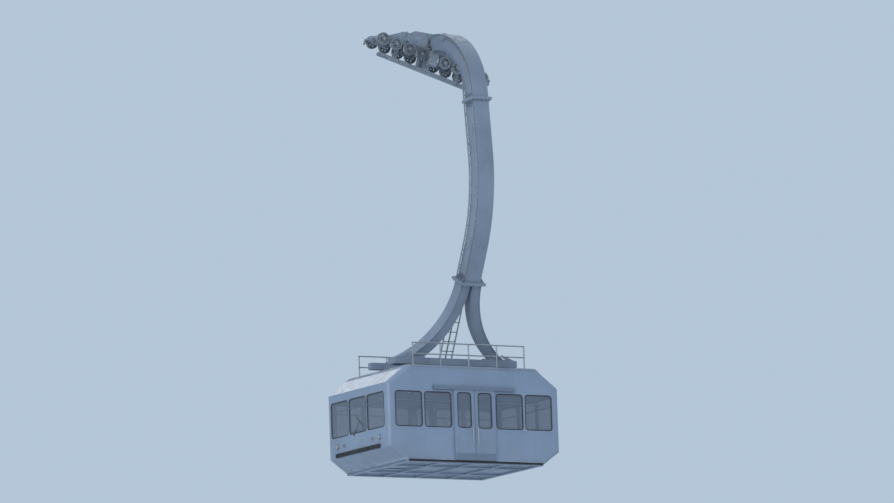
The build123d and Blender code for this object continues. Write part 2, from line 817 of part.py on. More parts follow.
def cabin_panels():
    """Roof, floor, two long sides and two ends, cut from one shell where they meet."""
    shell = cabin_shell()
    reach = cabin_length
    middle_z = (floor_z, roof_z - roof_thickness)
    inner_z = block((-reach, reach), (-reach, reach), middle_z)
    core = along_y(cabin_outline(end_cap_depth, 0, 0), -reach, reach)
    belt = shell & inner_z
    sides = belt & core
    ends = belt - core
    panels = {
        "cabin_roof": shell & block((-reach, reach), (-reach, reach), (middle_z[1], roof_z)),
        "cabin_floor": shell & block((-reach, reach), (-reach, reach), (bottom_z, floor_z)),
        "side_wall_near": sides & block((-reach, reach), (-reach, 0), middle_z),
        "side_wall_far": sides & block((-reach, reach), (0, reach), middle_z),
        "end_wall_uphill": ends & block((-reach, 0), (-reach, reach), middle_z),
        "end_wall_downhill": ends & block((0, reach), (-reach, reach), middle_z),
    }
    windows = [rounded_window(low, high, sill_z, window_top_z) for low, high in side_windows()]
    cuts = [along_y(window, -reach, reach) for window in windows]
    doorway = block((-door_half_width, door_half_width), (-reach, reach), (floor_z, door_top_z))
    for name in ("side_wall_near", "side_wall_far"):
        panels[name] = panels[name] - doorway
        for cut in cuts:
            panels[name] = panels[name] - cut
    for name in ("end_wall_uphill", "end_wall_downhill"):
        for low, high in end_window_ends:
            window = rounded_window(low, high, sill_z, window_top_z)
            panels[name] = panels[name] - along_x(window, -reach, reach)
    roof = panels["cabin_roof"] + roof_hatch_box(coaming_wall, (roof_z, roof_z + coaming_height))
    panels["cabin_roof"] = roof - roof_hatch_box(0, (roof_z - roof_thickness, roof_z + coaming_height))
    for _, fixed, _ in roof_hinges():
        panels["cabin_roof"] += fixed
    floor = panels["cabin_floor"] - floor_hatch_box(-floor_hatch_ledge, (bottom_z, floor_z))
    recess_z = floor_z - floor_hatch_lid - seat_gap
    panels["cabin_floor"] = floor - floor_hatch_box(hatch_gap, (recess_z, floor_z))
    for _, fixed, _ in floor_hinges():
        panels["cabin_floor"] += fixed
    return panels


def cabin_windows():
    """Fixed panes of the sides and ends, a little smaller than their openings."""
    outer = half_width - glass_inset
    panes = []
    for low, high in side_windows():
        outline = rounded_window(low, high, sill_z, window_top_z, seat_gap)
        panes += [along_y(outline, -outer, glass - outer), along_y(outline, outer - glass, outer)]
    outer = half_length - glass_inset
    for low, high in end_window_ends:
        outline = rounded_window(low, high, sill_z, window_top_z, seat_gap)
        panes += [along_x(outline, -outer, glass - outer), along_x(outline, outer - glass, outer)]
    return panes


def leaf_window(gap):
    low, high = leaf_gap + leaf_window_margin, leaf_edge - leaf_window_margin
    return rounded_window(low, high, sill_z, window_top_z, gap)


def door_leaf():
    """Downhill leaf of the far side: a panel with two hooks over its rail."""
    y = (leaf_out, leaf_out + leaf_thickness)
    body = block((leaf_gap, leaf_edge), y, (leaf_bottom_z, leaf_top_z))
    body -= along_y(leaf_window(0), *y)
    bar_top = leaf_top_z + rail_bar_rise + rail_bar_height
    for x in (leaf_gap + hook_inset, leaf_edge - hook_inset - hook_width):
        span = (x, x + hook_width)
        inner, outer = half_width + side_gap, half_width + rail_bar_width + side_gap
        hook_top = bar_top + hook_thickness
        body += block(span, (outer, outer + hook_thickness), (leaf_top_z, hook_top))
        body += block(span, (inner, outer + hook_thickness), (bar_top + seat_gap, hook_top))
    return body


def door_glass():
    middle = leaf_out + leaf_thickness / 2
    return along_y(leaf_window(seat_gap), middle - glass / 2, middle + glass / 2)


def door_rail():
    """Far side's rail bar with its hood, over the doorway and the leaves' travel."""
    half = leaf_edge + leaf_travel + hood_end_gap
    low = leaf_top_z + rail_bar_rise
    bar = block((-half, half), (half_width, half_width + rail_bar_width), (low, low + rail_bar_height))
    outer = leaf_out + leaf_thickness + hood_clearance
    top = low + rail_bar_height + hook_thickness + hood_clearance
    skirt = (leaf_top_z - hood_clearance, top)
    hood = block((-half, half), (half_width, outer), (top, top + hood_thickness))
    hood += block((-half, half), (outer, outer + hood_thickness), (skirt[0], top + hood_thickness))
    for side in (-1, 1):
        ends = sorted((side * half, side * (half - hood_thickness)))
        hood += block(ends, (half_width, outer), skirt)
    return bar + hood


def far_and_near(shape):
    return [shape, mirror(shape, about=Plane.XZ)]


def rub_rails():
    z = (bottom_z + rub_rail_rise, bottom_z + rub_rail_rise + rub_rail_height)
    x = (-rub_rail_half_length, rub_rail_half_length)
    return far_and_near(block(x, (half_width, half_width + rub_rail_reach), z))


def end_buffers():
    z = (bottom_z + buffer_rise, bottom_z + buffer_rise + buffer_height)
    y = (-buffer_half_width, buffer_half_width)
    bar = block((half_length, half_length + buffer_reach), y, z)
    return [bar, mirror(bar, about=Plane.YZ)]


def headlamps():
    lamps = []
    for y in (-lamp_place, lamp_place):
        outline = Pos(y, bottom_z + lamp_rise) * Circle(lamp_radius)
        lamps += [
            along_x(outline, half_length, half_length + lamp_reach),
            along_x(outline, -half_length - lamp_reach, -half_length),
        ]
    return lamps


def knuckles(x, z, radius, pin_radius, y, base):
    """Hinge on an axis along y through (x, z): the lid's knuckle, the fixed pair with its pin, and
    the room the pair needs. Each knuckle's foot reaches from the axis to its base, given as (x, z)."""
    third = hinge_length / 3
    spans = [(y - hinge_length / 2 + n * third, y - hinge_length / 2 + (n + 1) * third) for n in range(3)]
    parts = []
    for (low, high), (foot_x, foot_z) in zip(spans, (base[1], base[0], base[1])):
        low, high = low + hinge_side_gap / 2, high - hinge_side_gap / 2
        foot = block(sorted((x, foot_x)), (low, high), sorted((z, foot_z)))
        parts.append(rod_y(x, z, radius, low, high) + foot)
    lid = parts[1] - rod_y(x, z, pin_radius + running_fit, y - hinge_length, y + hinge_length)
    fixed = parts[0] + parts[2] + rod_y(x, z, pin_radius, spans[0][0], spans[2][1])
    room = rod_y(x, z, radius + hinge_stand_off, spans[0][0] - hinge_stand_off, spans[0][1])
    room += rod_y(x, z, radius + hinge_stand_off, spans[2][0], spans[2][1] + hinge_stand_off)
    return lid, fixed, room


def roof_hinges():
    """Hinges at the roof hatch's downhill edge."""
    edge = roof_hatch_length / 2 + coaming_wall
    x, z = edge + hinge_radius + hinge_stand_off, roof_z + coaming_height + seat_gap
    ys = [roof_hatch_middle + share * roof_hatch_width for share in hinge_places]
    base = ((edge, z + hinge_radius), (edge, z - hinge_radius))
    return [knuckles(x, z, hinge_radius, hinge_pin_radius, y, base) for y in ys]


def floor_hinges():
    """Hinges on the floor hatch's uphill edge."""
    edge = floor_hatch_middle - floor_hatch_length / 2
    x, z = edge - hatch_gap / 2, floor_z + floor_hinge_radius + floor_hinge_lift
    ys = [share * floor_hatch_width for share in hinge_places]
    base = ((edge + 2 * floor_hinge_radius, floor_z), (edge - 3 * floor_hinge_radius, floor_z))
    return [knuckles(x, z, floor_hinge_radius, floor_hinge_pin_radius, y, base) for y in ys]


def roof_hatch():
    top = roof_z + coaming_height + seat_gap
    body = roof_hatch_box(coaming_wall, (top, top + roof_hatch_lid))
    for lid, _, _ in roof_hinges():
        body += lid
    return body


def floor_hatch():
    body = floor_hatch_box(0, (floor_z - floor_hatch_lid, floor_z))
    for lid, _, room in floor_hinges():
        body = body - room + lid
    return body


def roof_railings():
    """One low railing along each long side of the roof."""
    rail_z = (roof_z + railing_height / 2, roof_z + railing_height - railing_tube)
    step = 2 * railing_half_length / (railing_posts - 1)
    tube = None
    for z in rail_z:
        rail = Pos(0, railing_reach, z) * Rot(0, 90, 0) * Cylinder(railing_tube, 2 * railing_half_length)
        tube = rail if tube is None else tube + rail
    post_height = railing_height - railing_tube
    post = Cylinder(railing_tube, post_height)
    for n in range(railing_posts):
        inset = railing_tube * (1 if n == 0 else -1 if n == railing_posts - 1 else 0)
        x = n * step + inset - railing_half_length
        tube += Pos(x, railing_reach, roof_z + post_height / 2) * post
    return far_and_near(tube)


def roof_equipment():
    y = (equipment_middle - equipment_width / 2, equipment_middle + equipment_width / 2)
    return block((-equipment_length / 2, equipment_length / 2), y, (roof_z, roof_z + equipment_height))


def ceiling_grab_rails():
    """A rail under the ceiling on each side of the aisle, with two poles to the floor."""
    rail_z = floor_z + grab_height
    rail = Pos(0, grab_reach, rail_z) * Rot(0, 90, 0) * Cylinder(grab_tube, 2 * grab_half_length)
    ceiling = roof_z - roof_thickness
    for x in (-pole_place, pole_place):
        rail += Pos(x, grab_reach, (floor_z + ceiling) / 2) * Cylinder(grab_tube, ceiling - floor_z)
    for side in (-1, 1):
        x = side * (grab_half_length - grab_tube)
        rail += Pos(x, grab_reach, (rail_z + ceiling) / 2) * Cylinder(grab_tube, ceiling - rail_z)
    return far_and_near(rail)


def wall_handrails():
    """Rails along the long walls beside the doors."""
    z = floor_z + wall_rail_height
    face = half_width - wall
    low = side_window_ends[0][0]
    high = side_window_ends[-1][1] - wall_rail_margin
    middle = face - wall_rail_stand_off
    rail = Pos((low + high) / 2, middle, z) * Rot(0, 90, 0) * Cylinder(wall_rail_tube, high - low)
    for x in (low + wall_rail_tube, (low + high) / 2, high - wall_rail_tube):
        rail += rod_y(x, z, wall_rail_leg_radius, middle, face)
    rails = far_and_near(rail)
    return rails + [mirror(each, about=Plane.YZ) for each in rails]


def locker_foot():
    """Largest distance from the middle at which a locker still stands on the flat floor."""
    share = (floor_z - bottom_z) / lower_slope_height
    return half_length - lower_slope_inset * (1 - share) - 2 * wall - locker_end_gap


def rescue_locker():
    high = locker_foot()
    y = (locker_middle - locker_width / 2, locker_middle + locker_width / 2)
    return block((high - locker_length, high), y, (floor_z, floor_z + locker_height))


def attendant_desk():
    """Control desk at the uphill end, its top sloped towards the attendant."""
    far = -locker_foot()
    near = far + locker_length
    top = floor_z + locker_height
    outline = make_face(
        Polyline(
            (far, floor_z),
            (near, floor_z),
            (near, top - desk_slope_height),
            (far, top + desk_slope_height),
            close=True,
        )
    )
    return along_y(outline, locker_middle - locker_width / 2, locker_middle + locker_width / 2)


def all_pieces():
    """Every node's name with its solid, or its list of solids."""
    pieces = {
        "main_beam": on_carriage(main_beam()),
        "pivot_shaft": on_carriage(pivot_shaft()),
        "track_brake": on_carriage(track_brake()),
        "haul_drawbar": on_carriage(haul_drawbar()),
        "hydraulic_unit": on_carriage(hydraulic_unit()),
    }
    for name, x in zip(("uphill", "downhill"), beam_places):
        pieces[f"balance_beam_{name}"] = on_carriage(balance_beam(x))
    for n, x in enumerate(rocker_places):
        outward = {0: -1, len(rocker_places) - 1: 1}.get(n, 0)
        pieces[f"rocker_{n + 1}"] = on_carriage(rocker(x, outward))
    for n, x in enumerate(axle_places):
        pieces[f"wheel_pair_{n + 1}"] = on_carriage(wheel_pair(x))
    pieces["hanger_arm"] = hanger_arm()
    pieces["hanger_mast"] = hanger_mast()
    pieces["fork_leg_uphill"] = fork_leg(-1)
    pieces["fork_leg_downhill"] = fork_leg(1)
    pieces["hanger_ladder"] = hanger_ladder()
    pieces["suspension_beams"] = suspension_beams()
    pieces["suspension_cross_beams"] = suspension_cross_beams()
    pieces["suspension_dampers"] = suspension_dampers()
    pieces.update(cabin_panels())
    pieces["underframe"] = underframe()
    pieces["cabin_windows"] = cabin_windows()
    leaf, pane = door_leaf(), door_glass()
    for side, turn_y in (("far", False), ("near", True)):
        for end, turn_x in (("downhill", False), ("uphill", True)):
            for kind, shape in (("door_leaf", leaf), ("door_glass", pane)):
                placed = mirror(shape, about=Plane.XZ) if turn_y else shape
                placed = mirror(placed, about=Plane.YZ) if turn_x else placed
                pieces[f"{kind}_{side}_{end}"] = placed
    pieces["door_rails"] = far_and_near(door_rail())
    pieces["rub_rails"] = rub_rails()
    pieces["end_buffers"] = end_buffers()
    pieces["headlamps"] = headlamps()
    pieces["roof_hatch"] = roof_hatch()
    pieces["floor_hatch"] = floor_hatch()
    pieces["roof_railings"] = roof_railings()
    pieces["roof_equipment"] = roof_equipment()
    pieces["ceiling_grab_rails"] = ceiling_grab_rails()
    pieces["wall_handrails"] = wall_handrails()
    pieces["rescue_locker"] = rescue_locker()
    pieces["attendant_desk"] = attendant_desk()
    return pieces


os.makedirs("parts", exist_ok=True)
for node, piece in all_pieces().items():
    shapes = piece if isinstance(piece, list) else [piece]
    solids = [solid for shape in shapes for solid in shape.solids()]
    export_step(Compound(children=solids), f"parts/{node}.step")
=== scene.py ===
"""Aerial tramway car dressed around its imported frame. Metres, +Z up, +X level and
downhill, +Y away from the hanger's bulge."""

from itertools import product
from math import atan, atan2, copysign, cos, pi, radians, sin, tan
import json

import bmesh
import bpy
from mathutils import Matrix, Vector


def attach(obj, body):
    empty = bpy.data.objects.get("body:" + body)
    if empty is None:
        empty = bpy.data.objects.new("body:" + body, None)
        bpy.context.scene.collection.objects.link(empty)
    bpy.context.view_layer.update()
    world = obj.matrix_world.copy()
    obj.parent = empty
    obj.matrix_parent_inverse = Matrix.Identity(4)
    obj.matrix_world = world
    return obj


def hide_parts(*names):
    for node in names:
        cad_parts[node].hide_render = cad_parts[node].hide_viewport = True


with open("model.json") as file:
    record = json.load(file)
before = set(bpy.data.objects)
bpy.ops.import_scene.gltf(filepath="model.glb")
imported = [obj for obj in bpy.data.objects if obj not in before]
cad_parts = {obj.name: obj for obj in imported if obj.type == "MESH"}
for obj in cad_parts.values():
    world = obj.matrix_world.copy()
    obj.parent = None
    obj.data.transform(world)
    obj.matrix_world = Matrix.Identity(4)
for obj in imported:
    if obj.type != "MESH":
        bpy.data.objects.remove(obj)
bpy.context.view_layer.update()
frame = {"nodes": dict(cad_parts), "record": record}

# Sizes repeated from the part, in metres
TRACK_INCLINE = radians(17)
PIVOT_HEIGHT = 0.64
PIVOT_Z = PIVOT_HEIGHT / cos(TRACK_INCLINE)
AXLES = (-1.74, -1.30, -0.84, -0.40, 0.40, 0.84, 1.30, 1.74)
ROCKERS = (-1.52, -0.62, 0.62, 1.52)
BEAMS = (-1.07, 1.07)
AXLE_Z, ROCKER_Z, BEAM_Z = 0.184, 0.304, 0.560
GAUGE_HALF = 0.35
WEB_FACE, BEAM_FACE, ROCKER_FACE, HUB_FACE = 0.193, 0.243, 0.281, 0.411
MAST_TOP = (-2.42, PIVOT_Z)
MAST_BULGE = (-2.90, -4.40)
MAST_FOOT = (-0.65, -8.78)
MAST_SLOPE = (MAST_FOOT[0] - MAST_BULGE[0]) / (MAST_BULGE[1] - MAST_FOOT[1])
GIRDER_DEPTH, GIRDER_START = 0.47, 0.486
SHOULDER_BEND, BULGE_BEND = 2.0, 5.0
ARM_SPLICE, FORK_SPLICE = 1.35, 6.60
LEG_ROOT, FORK_SPREAD = 0.19, 1.5
FRAME_TOP = -8.78
ROOF_Z, BOTTOM_Z, FLOOR_Z, CEILING_Z = -9.13, -12.0, -11.88, -9.23
HALF_LENGTH, HALF_WIDTH = 2.9, 1.8
UPPER_CUT, LOWER_CUT = (0.70, 0.54), (0.60, 0.43)
SILL_Z, WINDOW_TOP_Z, WINDOW_ROUND = -10.95, -9.92, 0.09
WINDOW_MID, WINDOW_HALF = (SILL_Z + WINDOW_TOP_Z) / 2, (WINDOW_TOP_Z - SILL_Z) / 2
SIDE_WINDOWS = ((0.760, 1.655), (1.745, 2.640))
END_WINDOWS = ((-1.580, -0.573), (-0.503, 0.503), (0.573, 1.580))
DOOR_FACE, HOOD_FACE = 1.852, 1.878

SIDES = (-1, 1)
X, Y, Z = Vector((1, 0, 0)), Vector((0, 1, 0)), Vector((0, 0, 1))


def moved(x, y, z):
    return Matrix.Translation((x, y, z))


def rotated(angle, axis):
    return Matrix.Rotation(angle, 4, axis)


TILT = moved(0, 0, PIVOT_Z) @ rotated(TRACK_INCLINE, "Y") @ moved(0, 0, -PIVOT_HEIGHT)
DOWN_TRACK, UP_TRACK = TILT.to_3x3() @ X, TILT.to_3x3() @ Z


# Shader maths


class Field:
    """A shader socket that takes part in sums and products."""

    def __init__(self, look, socket):
        self.look, self.socket = look, socket

    def maths(self, operation, *terms):
        return self.look.add("ShaderNodeMath", {"operation": operation}, dict(enumerate(terms)))

    def __add__(self, other):
        return self.maths("ADD", self, other)

    __radd__ = __add__

    def __sub__(self, other):
        return self.maths("SUBTRACT", self, other)

    def __rsub__(self, other):
        return self.maths("SUBTRACT", other, self)

    def __mul__(self, other):
        return self.maths("MULTIPLY", self, other)

    __rmul__ = __mul__

    def __lt__(self, other):
        return self.maths("LESS_THAN", self, other)

    def root(self):
        return self.maths("SQRT", self)

    def between(self, low, high):
        """Rises smoothly from 0 to 1 as the value goes from low to high."""
        settings = {"interpolation_type": "SMOOTHSTEP"}
        sockets = {"Value": self, "From Min": low, "From Max": high}
        return self.look.add("ShaderNodeMapRange", settings, sockets)


class Look:
    """One procedural material; add() makes any of its nodes."""

    def __init__(self):
        self.material = bpy.data.materials.new("finish")
        self.material.use_nodes = True
        self.tree = self.material.node_tree
        self.tree.nodes.clear()
        self.place = self.add("ShaderNodeTexCoord", output="Object")
        self.normal = self.add("ShaderNodeTexCoord", output="Normal")

    def add(self, kind, settings=None, sockets=None, output=0):
        """A node of this kind: its settings first, then its sockets' values or links."""
        node = self.tree.nodes.new(kind)
        for key, value in (settings or {}).items():
            setattr(node, key, value)
        for key, value in (sockets or {}).items():
            socket = node.inputs[key]
            if isinstance(value, Field):
                self.tree.links.new(value.socket, socket)
            else:
                socket.default_value = (*value, 1.0) if socket.type == "RGBA" else value
        return Field(self, node.outputs[output]) if node.outputs else None

    def vectors(self, operation, first, second, output=0):
        return self.add("ShaderNodeVectorMath", {"operation": operation}, {0: first, 1: second}, output)

    def along(self, axis, vector=None):
        """One coordinate of the surface, in metres, or of another vector."""
        return self.add("ShaderNodeSeparateXYZ", sockets={0: vector or self.place}, output=axis)

    def stretched(self, x, y, z):
        """The coordinates multiplied along each axis."""
        return self.vectors("MULTIPLY", self.place, (x, y, z))

    def noise(self, scale, detail, place=None):
        sockets = {"Vector": place or self.place, "Scale": scale, "Detail": detail, "Roughness": 0.55}
        return self.add("ShaderNodeTexNoise", sockets=sockets)

    def cells(self, scale, output="Distance"):
        return self.add("ShaderNodeTexVoronoi", sockets={"Vector": self.place, "Scale": scale}, output=output)

    def mix(self, share, first, second):
        """Colour between first and second."""
        settings = {"data_type": "RGBA", "clamp_factor": True}
        return self.add("ShaderNodeMix", settings, {0: share, 6: first, 7: second}, 2)

    def upward(self):
        """How far the surface faces up, from -1 to 1."""
        return self.along("Z", self.normal)

    def inside(self):
        """1 where the surface faces the cabin's middle, 0 where it faces away."""
        outward = self.vectors("SUBTRACT", self.place, (0.0, 0.0, (ROOF_Z + BOTTOM_Z) / 2))
        return self.vectors("DOT_PRODUCT", outward, self.normal, "Value") < 0.0

    def edges(self, radius):
        """1 at sharp edges, falling to 0 within a radius of them."""
        rounded = self.add("ShaderNodeBevel", {"samples": 4}, {"Radius": radius})
        flat = self.add("ShaderNodeNewGeometry", output="Normal")
        return self.vectors("DOT_PRODUCT", rounded, flat, "Value").between(0.97, 0.80)

    def finish(self, colour, roughness, metallic=0.0, bump=None, depth=0.001, **fixed):
        """The finished material; a bump's depth is in metres."""
        sockets = {"Base Color": colour, "Roughness": roughness, "Metallic": metallic}
        if bump is not None:
            heights = {"Height": bump, "Distance": depth, "Strength": 0.6}
            sockets["Normal"] = self.add("ShaderNodeBump", sockets=heights)
        sockets.update((key.replace("_", " "), value) for key, value in fixed.items())
        shader = self.add("ShaderNodeBsdfPrincipled", sockets=sockets)
        self.add("ShaderNodeOutputMaterial", sockets={"Surface": shader})
        return self.material


# Finishes


def shade(colour, share):
    return tuple(c * share for c in colour)


def towards(colour, other, share):
    return tuple(a + (b - a) * share for a, b in zip(colour, other))


DUST = (0.33, 0.33, 0.31)
GREASE = (0.018, 0.017, 0.016)
PRIMER = (0.23, 0.20, 0.18)
BARE_STEEL = (0.42, 0.43, 0.45)
LINING = (0.50, 0.52, 0.53)
BLACK_RUBBER = (0.022, 0.022, 0.024)


def painted_steel(colour, gloss=0.38, wear=0.5, dust=0.25, grease=0.0, edge=0.006):
    """Sprayed steel with rain streaks, dust on what faces up, and chipped edges."""
    look = Look()
    cloud = look.noise(0.9, 5)
    streak = look.noise(7, 4, look.stretched(1, 1, 0.12)).between(0.52, 0.78)
    patch = look.noise(5, 6).between(0.38, 0.72)
    base = look.mix(cloud.between(0.3, 0.7), shade(colour, 0.88), shade(colour, 1.10))
    base = look.mix(streak * 0.30, base, shade(colour, 0.62))
    dusty = (look.upward().between(0.2, 0.95) * 0.75 + 0.15) * patch * dust * 2
    base = look.mix(dusty, base, towards(colour, DUST, 0.75))
    worn = look.edges(edge) * look.noise(26, 5).between(0.46, 0.64) * wear
    base = look.mix(worn.between(0.10, 0.55), base, towards(PRIMER, BARE_STEEL, 0.45))
    roughness = gloss + cloud * 0.14 + dusty * 0.6 + worn * 0.2
    if grease:
        slick = look.noise(9, 4).between(0.5, 0.66) * grease
        base = look.mix(slick, base, GREASE)
        roughness = roughness - slick * 0.2
    return look.finish(base, roughness, bump=look.noise(38, 3) * 0.5 + worn * -2, depth=0.0006, IOR=1.45)


def cabin_paint(colour):
    """Gloss coach paint outside, pale lining panels inside, road dirt low down."""
    look = Look()
    height = look.along("Z")
    cloud = look.noise(0.7, 4)
    base = look.mix(cloud.between(0.3, 0.7), shade(colour, 0.92), shade(colour, 1.07))
    streak = look.noise(9, 5, look.stretched(1, 1, 0.07)).between(0.50, 0.80)
    under_windows = height.between(SILL_Z + 0.1, SILL_Z - 0.5) * height.between(BOTTOM_Z, BOTTOM_Z + 0.9)
    base = look.mix(streak * (0.10 + under_windows * 0.28), base, shade(colour, 0.60))
    low = height.between(BOTTOM_Z + 1.1, BOTTOM_Z) * look.noise(3.2, 6).between(0.35, 0.75)
    base = look.mix(low * 0.42, base, towards(colour, DUST, 0.55))
    top = look.upward().between(0.25, 0.9) * look.noise(6, 5).between(0.35, 0.7)
    base = look.mix(top * 0.35, base, towards(colour, DUST, 0.6))
    worn = look.edges(0.005) * look.noise(30, 5).between(0.50, 0.66) * 0.45
    base = look.mix(worn, base, towards(colour, BARE_STEEL, 0.7))
    roughness = 0.30 + cloud * 0.08 + low * 0.30 + top * 0.25
    coat = 0.36 - low * 0.28

    inside = look.inside()
    scuffs = look.noise(14, 6, look.stretched(0.3, 0.3, 1)).between(0.56, 0.70)
    kicked = scuffs * height.between(FLOOR_Z + 0.9, FLOOR_Z + 0.1)
    lining = look.mix(look.noise(240, 3).between(0.3, 0.7), shade(LINING, 0.94), LINING)
    lining = look.mix(kicked * 0.55, lining, shade(LINING, 0.45))
    base = look.mix(inside, base, lining)
    roughness = roughness * (1 - inside) + inside * 0.62
    ripple = look.noise(160, 2) * 0.35 + look.noise(2.2, 2) * 2
    return look.finish(
        base, roughness, bump=ripple, depth=0.0005, Coat_Weight=coat * (1 - inside), Coat_Roughness=0.08)


def turned_steel(colour, centre, polished=None):
    """Machined steel: tool marks run round the centre, and the polished radii shine."""
    look = Look()
    cloud = look.noise(6, 5)
    base = look.mix(cloud.between(0.3, 0.7), shade(colour, 0.70), shade(colour, 1.05))
    roughness = 0.32 + cloud * 0.16
    across, up = look.along("X") - centre.x, look.along("Z") - centre.z
    radius = (across * across + up * up).root()
    turned = look.add("ShaderNodeCombineXYZ", sockets={0: radius, 1: look.along("Y") * 0.3, 2: 0.0})
    marks = look.add("ShaderNodeTexWave", {"wave_type": "BANDS"}, {"Vector": turned, "Scale": 90.0, "Distortion": 0.6})
    if polished:
        inner, outer = polished
        rim = radius.between(inner, inner + 0.006) * radius.between(outer, outer - 0.006)
        web = look.noise(11, 5).between(0.40, 0.62) * (1 - rim)
        base = look.mix(web * 0.55, base, towards(GREASE, colour, 0.25))
        base = look.mix(rim * 0.8, base, (0.26, 0.27, 0.29))
        roughness = roughness * (1 - rim * 0.45) + web * 0.16
    rust = look.noise(17, 6).between(0.58, 0.70)
    base = look.mix(rust * 0.22, base, (0.13, 0.075, 0.045))
    return look.finish(base, roughness + rust * 0.2, 0.85, bump=marks * 0.4 + rust * 0.5, depth=0.0004)


def galvanised(colour):
    """Hot-dip zinc: a spangle of dull and bright crystals with white bloom."""
    look = Look()
    crystal = look.add("ShaderNodeSeparateColor", sockets={0: look.cells(60, "Color")})
    base = look.mix(crystal, shade(colour, 0.72), shade(colour, 1.18))
    bloom = look.noise(8, 6).between(0.52, 0.74)
    base = look.mix(bloom * 0.5, base, (0.56, 0.57, 0.57))
    roughness = 0.42 + crystal * 0.14 + bloom * 0.2
    return look.finish(base, roughness, 0.75 - bloom * 0.45, bump=crystal, depth=0.0003)


def rubber(colour, dusty):
    look = Look()
    cloud = look.noise(5, 6)
    bloom = cloud.between(0.42, 0.75) * dusty
    lying = look.upward().between(0.1, 0.9) * dusty
    base = look.mix(bloom * 0.5 + lying * 0.35, colour, (0.13, 0.13, 0.125))
    roughness = 0.66 + cloud * 0.14
    return look.finish(base, roughness, bump=look.noise(320, 3), depth=0.0005, Specular_IOR_Level=0.35)


def tinted_glass(colour):
    """Tinted pane: dust gathers low down and rain leaves faint runs."""
    look = Look()
    smear = look.noise(2.6, 6).between(0.42, 0.8)
    runs = look.noise(16, 4, look.stretched(1, 1, 0.05)).between(0.55, 0.8)
    low = look.along("Z").between(SILL_Z + 0.30, SILL_Z) * smear
    film = smear * 0.10 + runs * 0.10 + low * 0.30
    base = look.mix(film, colour, (0.30, 0.33, 0.35))
    return look.finish(
        base, 0.04 + film * 0.5, Alpha=0.48 + film * 0.5, IOR=1.52, Coat_Weight=0.6, Coat_Roughness=0.02)


def brushed(colour, direction, roughness, metallic=0.9):
    look = Look()
    lines = look.noise(90, 4, look.stretched(*direction))
    prints = look.noise(21, 5).between(0.55, 0.72)
    base = look.mix(lines, shade(colour, 0.86), shade(colour, 1.06))
    base = look.mix(prints * 0.3, base, shade(colour, 0.62))
    roughness = roughness + look.noise(4, 5) * 0.12 + prints * 0.15
    return look.finish(base, roughness, metallic, bump=lines, depth=0.0002)


def roof_coating(colour):
    """Gritty anti-slip coat, darker where water stands, with lichen spots; lined below."""
    look = Look()
    stains = look.noise(1.6, 6).between(0.42, 0.66)
    base = look.mix(stains, shade(colour, 1.08), shade(colour, 0.66))
    base = look.mix(look.noise(24, 4).between(0.60, 0.72) * 0.35, base, (0.33, 0.34, 0.29))
    base = look.mix(look.inside(), base, shade(LINING, 1.12))
    return look.finish(base, 0.80 - stains * 0.15, bump=look.cells(420), depth=0.0012)


def floor_finish(colour):
    """Dark studded rubber on top; painted panels with dirt below."""
    look = Look()
    inside = look.inside()
    studs = look.cells(28).between(0.42, 0.30)
    mat = look.mix(look.noise(1.4, 5).between(0.35, 0.65), (0.045, 0.047, 0.050), (0.095, 0.095, 0.092))
    grime = look.noise(2.4, 6).between(0.35, 0.7)
    spatter = look.noise(45, 3).between(0.60, 0.70)
    under = look.mix(grime, shade(colour, 1.12), shade(colour, 0.70))
    under = look.mix(spatter * 0.4, under, DUST)
    relief = studs * inside * 2 + spatter * 0.3
    return look.finish(look.mix(inside, under, mat), 0.60 + grime * 0.12, bump=relief, depth=0.0012)


def moulded_plastic(colour):
    look = Look()
    cloud = look.noise(6, 5)
    base = look.mix(cloud, shade(colour, 0.85), shade(colour, 1.15))
    return look.finish(base, 0.48 + cloud * 0.14, bump=look.cells(260), depth=0.0005)


def lamp_glass():
    look = Look()
    haze = look.noise(30, 4).between(0.4, 0.8)
    base = look.mix(haze, (0.62, 0.66, 0.70), (0.50, 0.53, 0.55))
    return look.finish(base, 0.10 + haze * 0.15, Alpha=0.38 + haze * 0.15, IOR=1.49, Coat_Weight=0.5)


def glowing(colour, strength):
    look = Look()
    weave = look.cells(180)
    base = look.mix(weave, shade(colour, 0.9), colour)
    return look.finish(base, 0.5, Emission_Color=base, Emission_Strength=strength, bump=weave, depth=0.0004)


def on_carriage(x, y, z):
    return TILT @ Vector((x, y, z))


CARRIAGE = (0.285, 0.335, 0.405)
CABIN = (0.245, 0.306, 0.415)

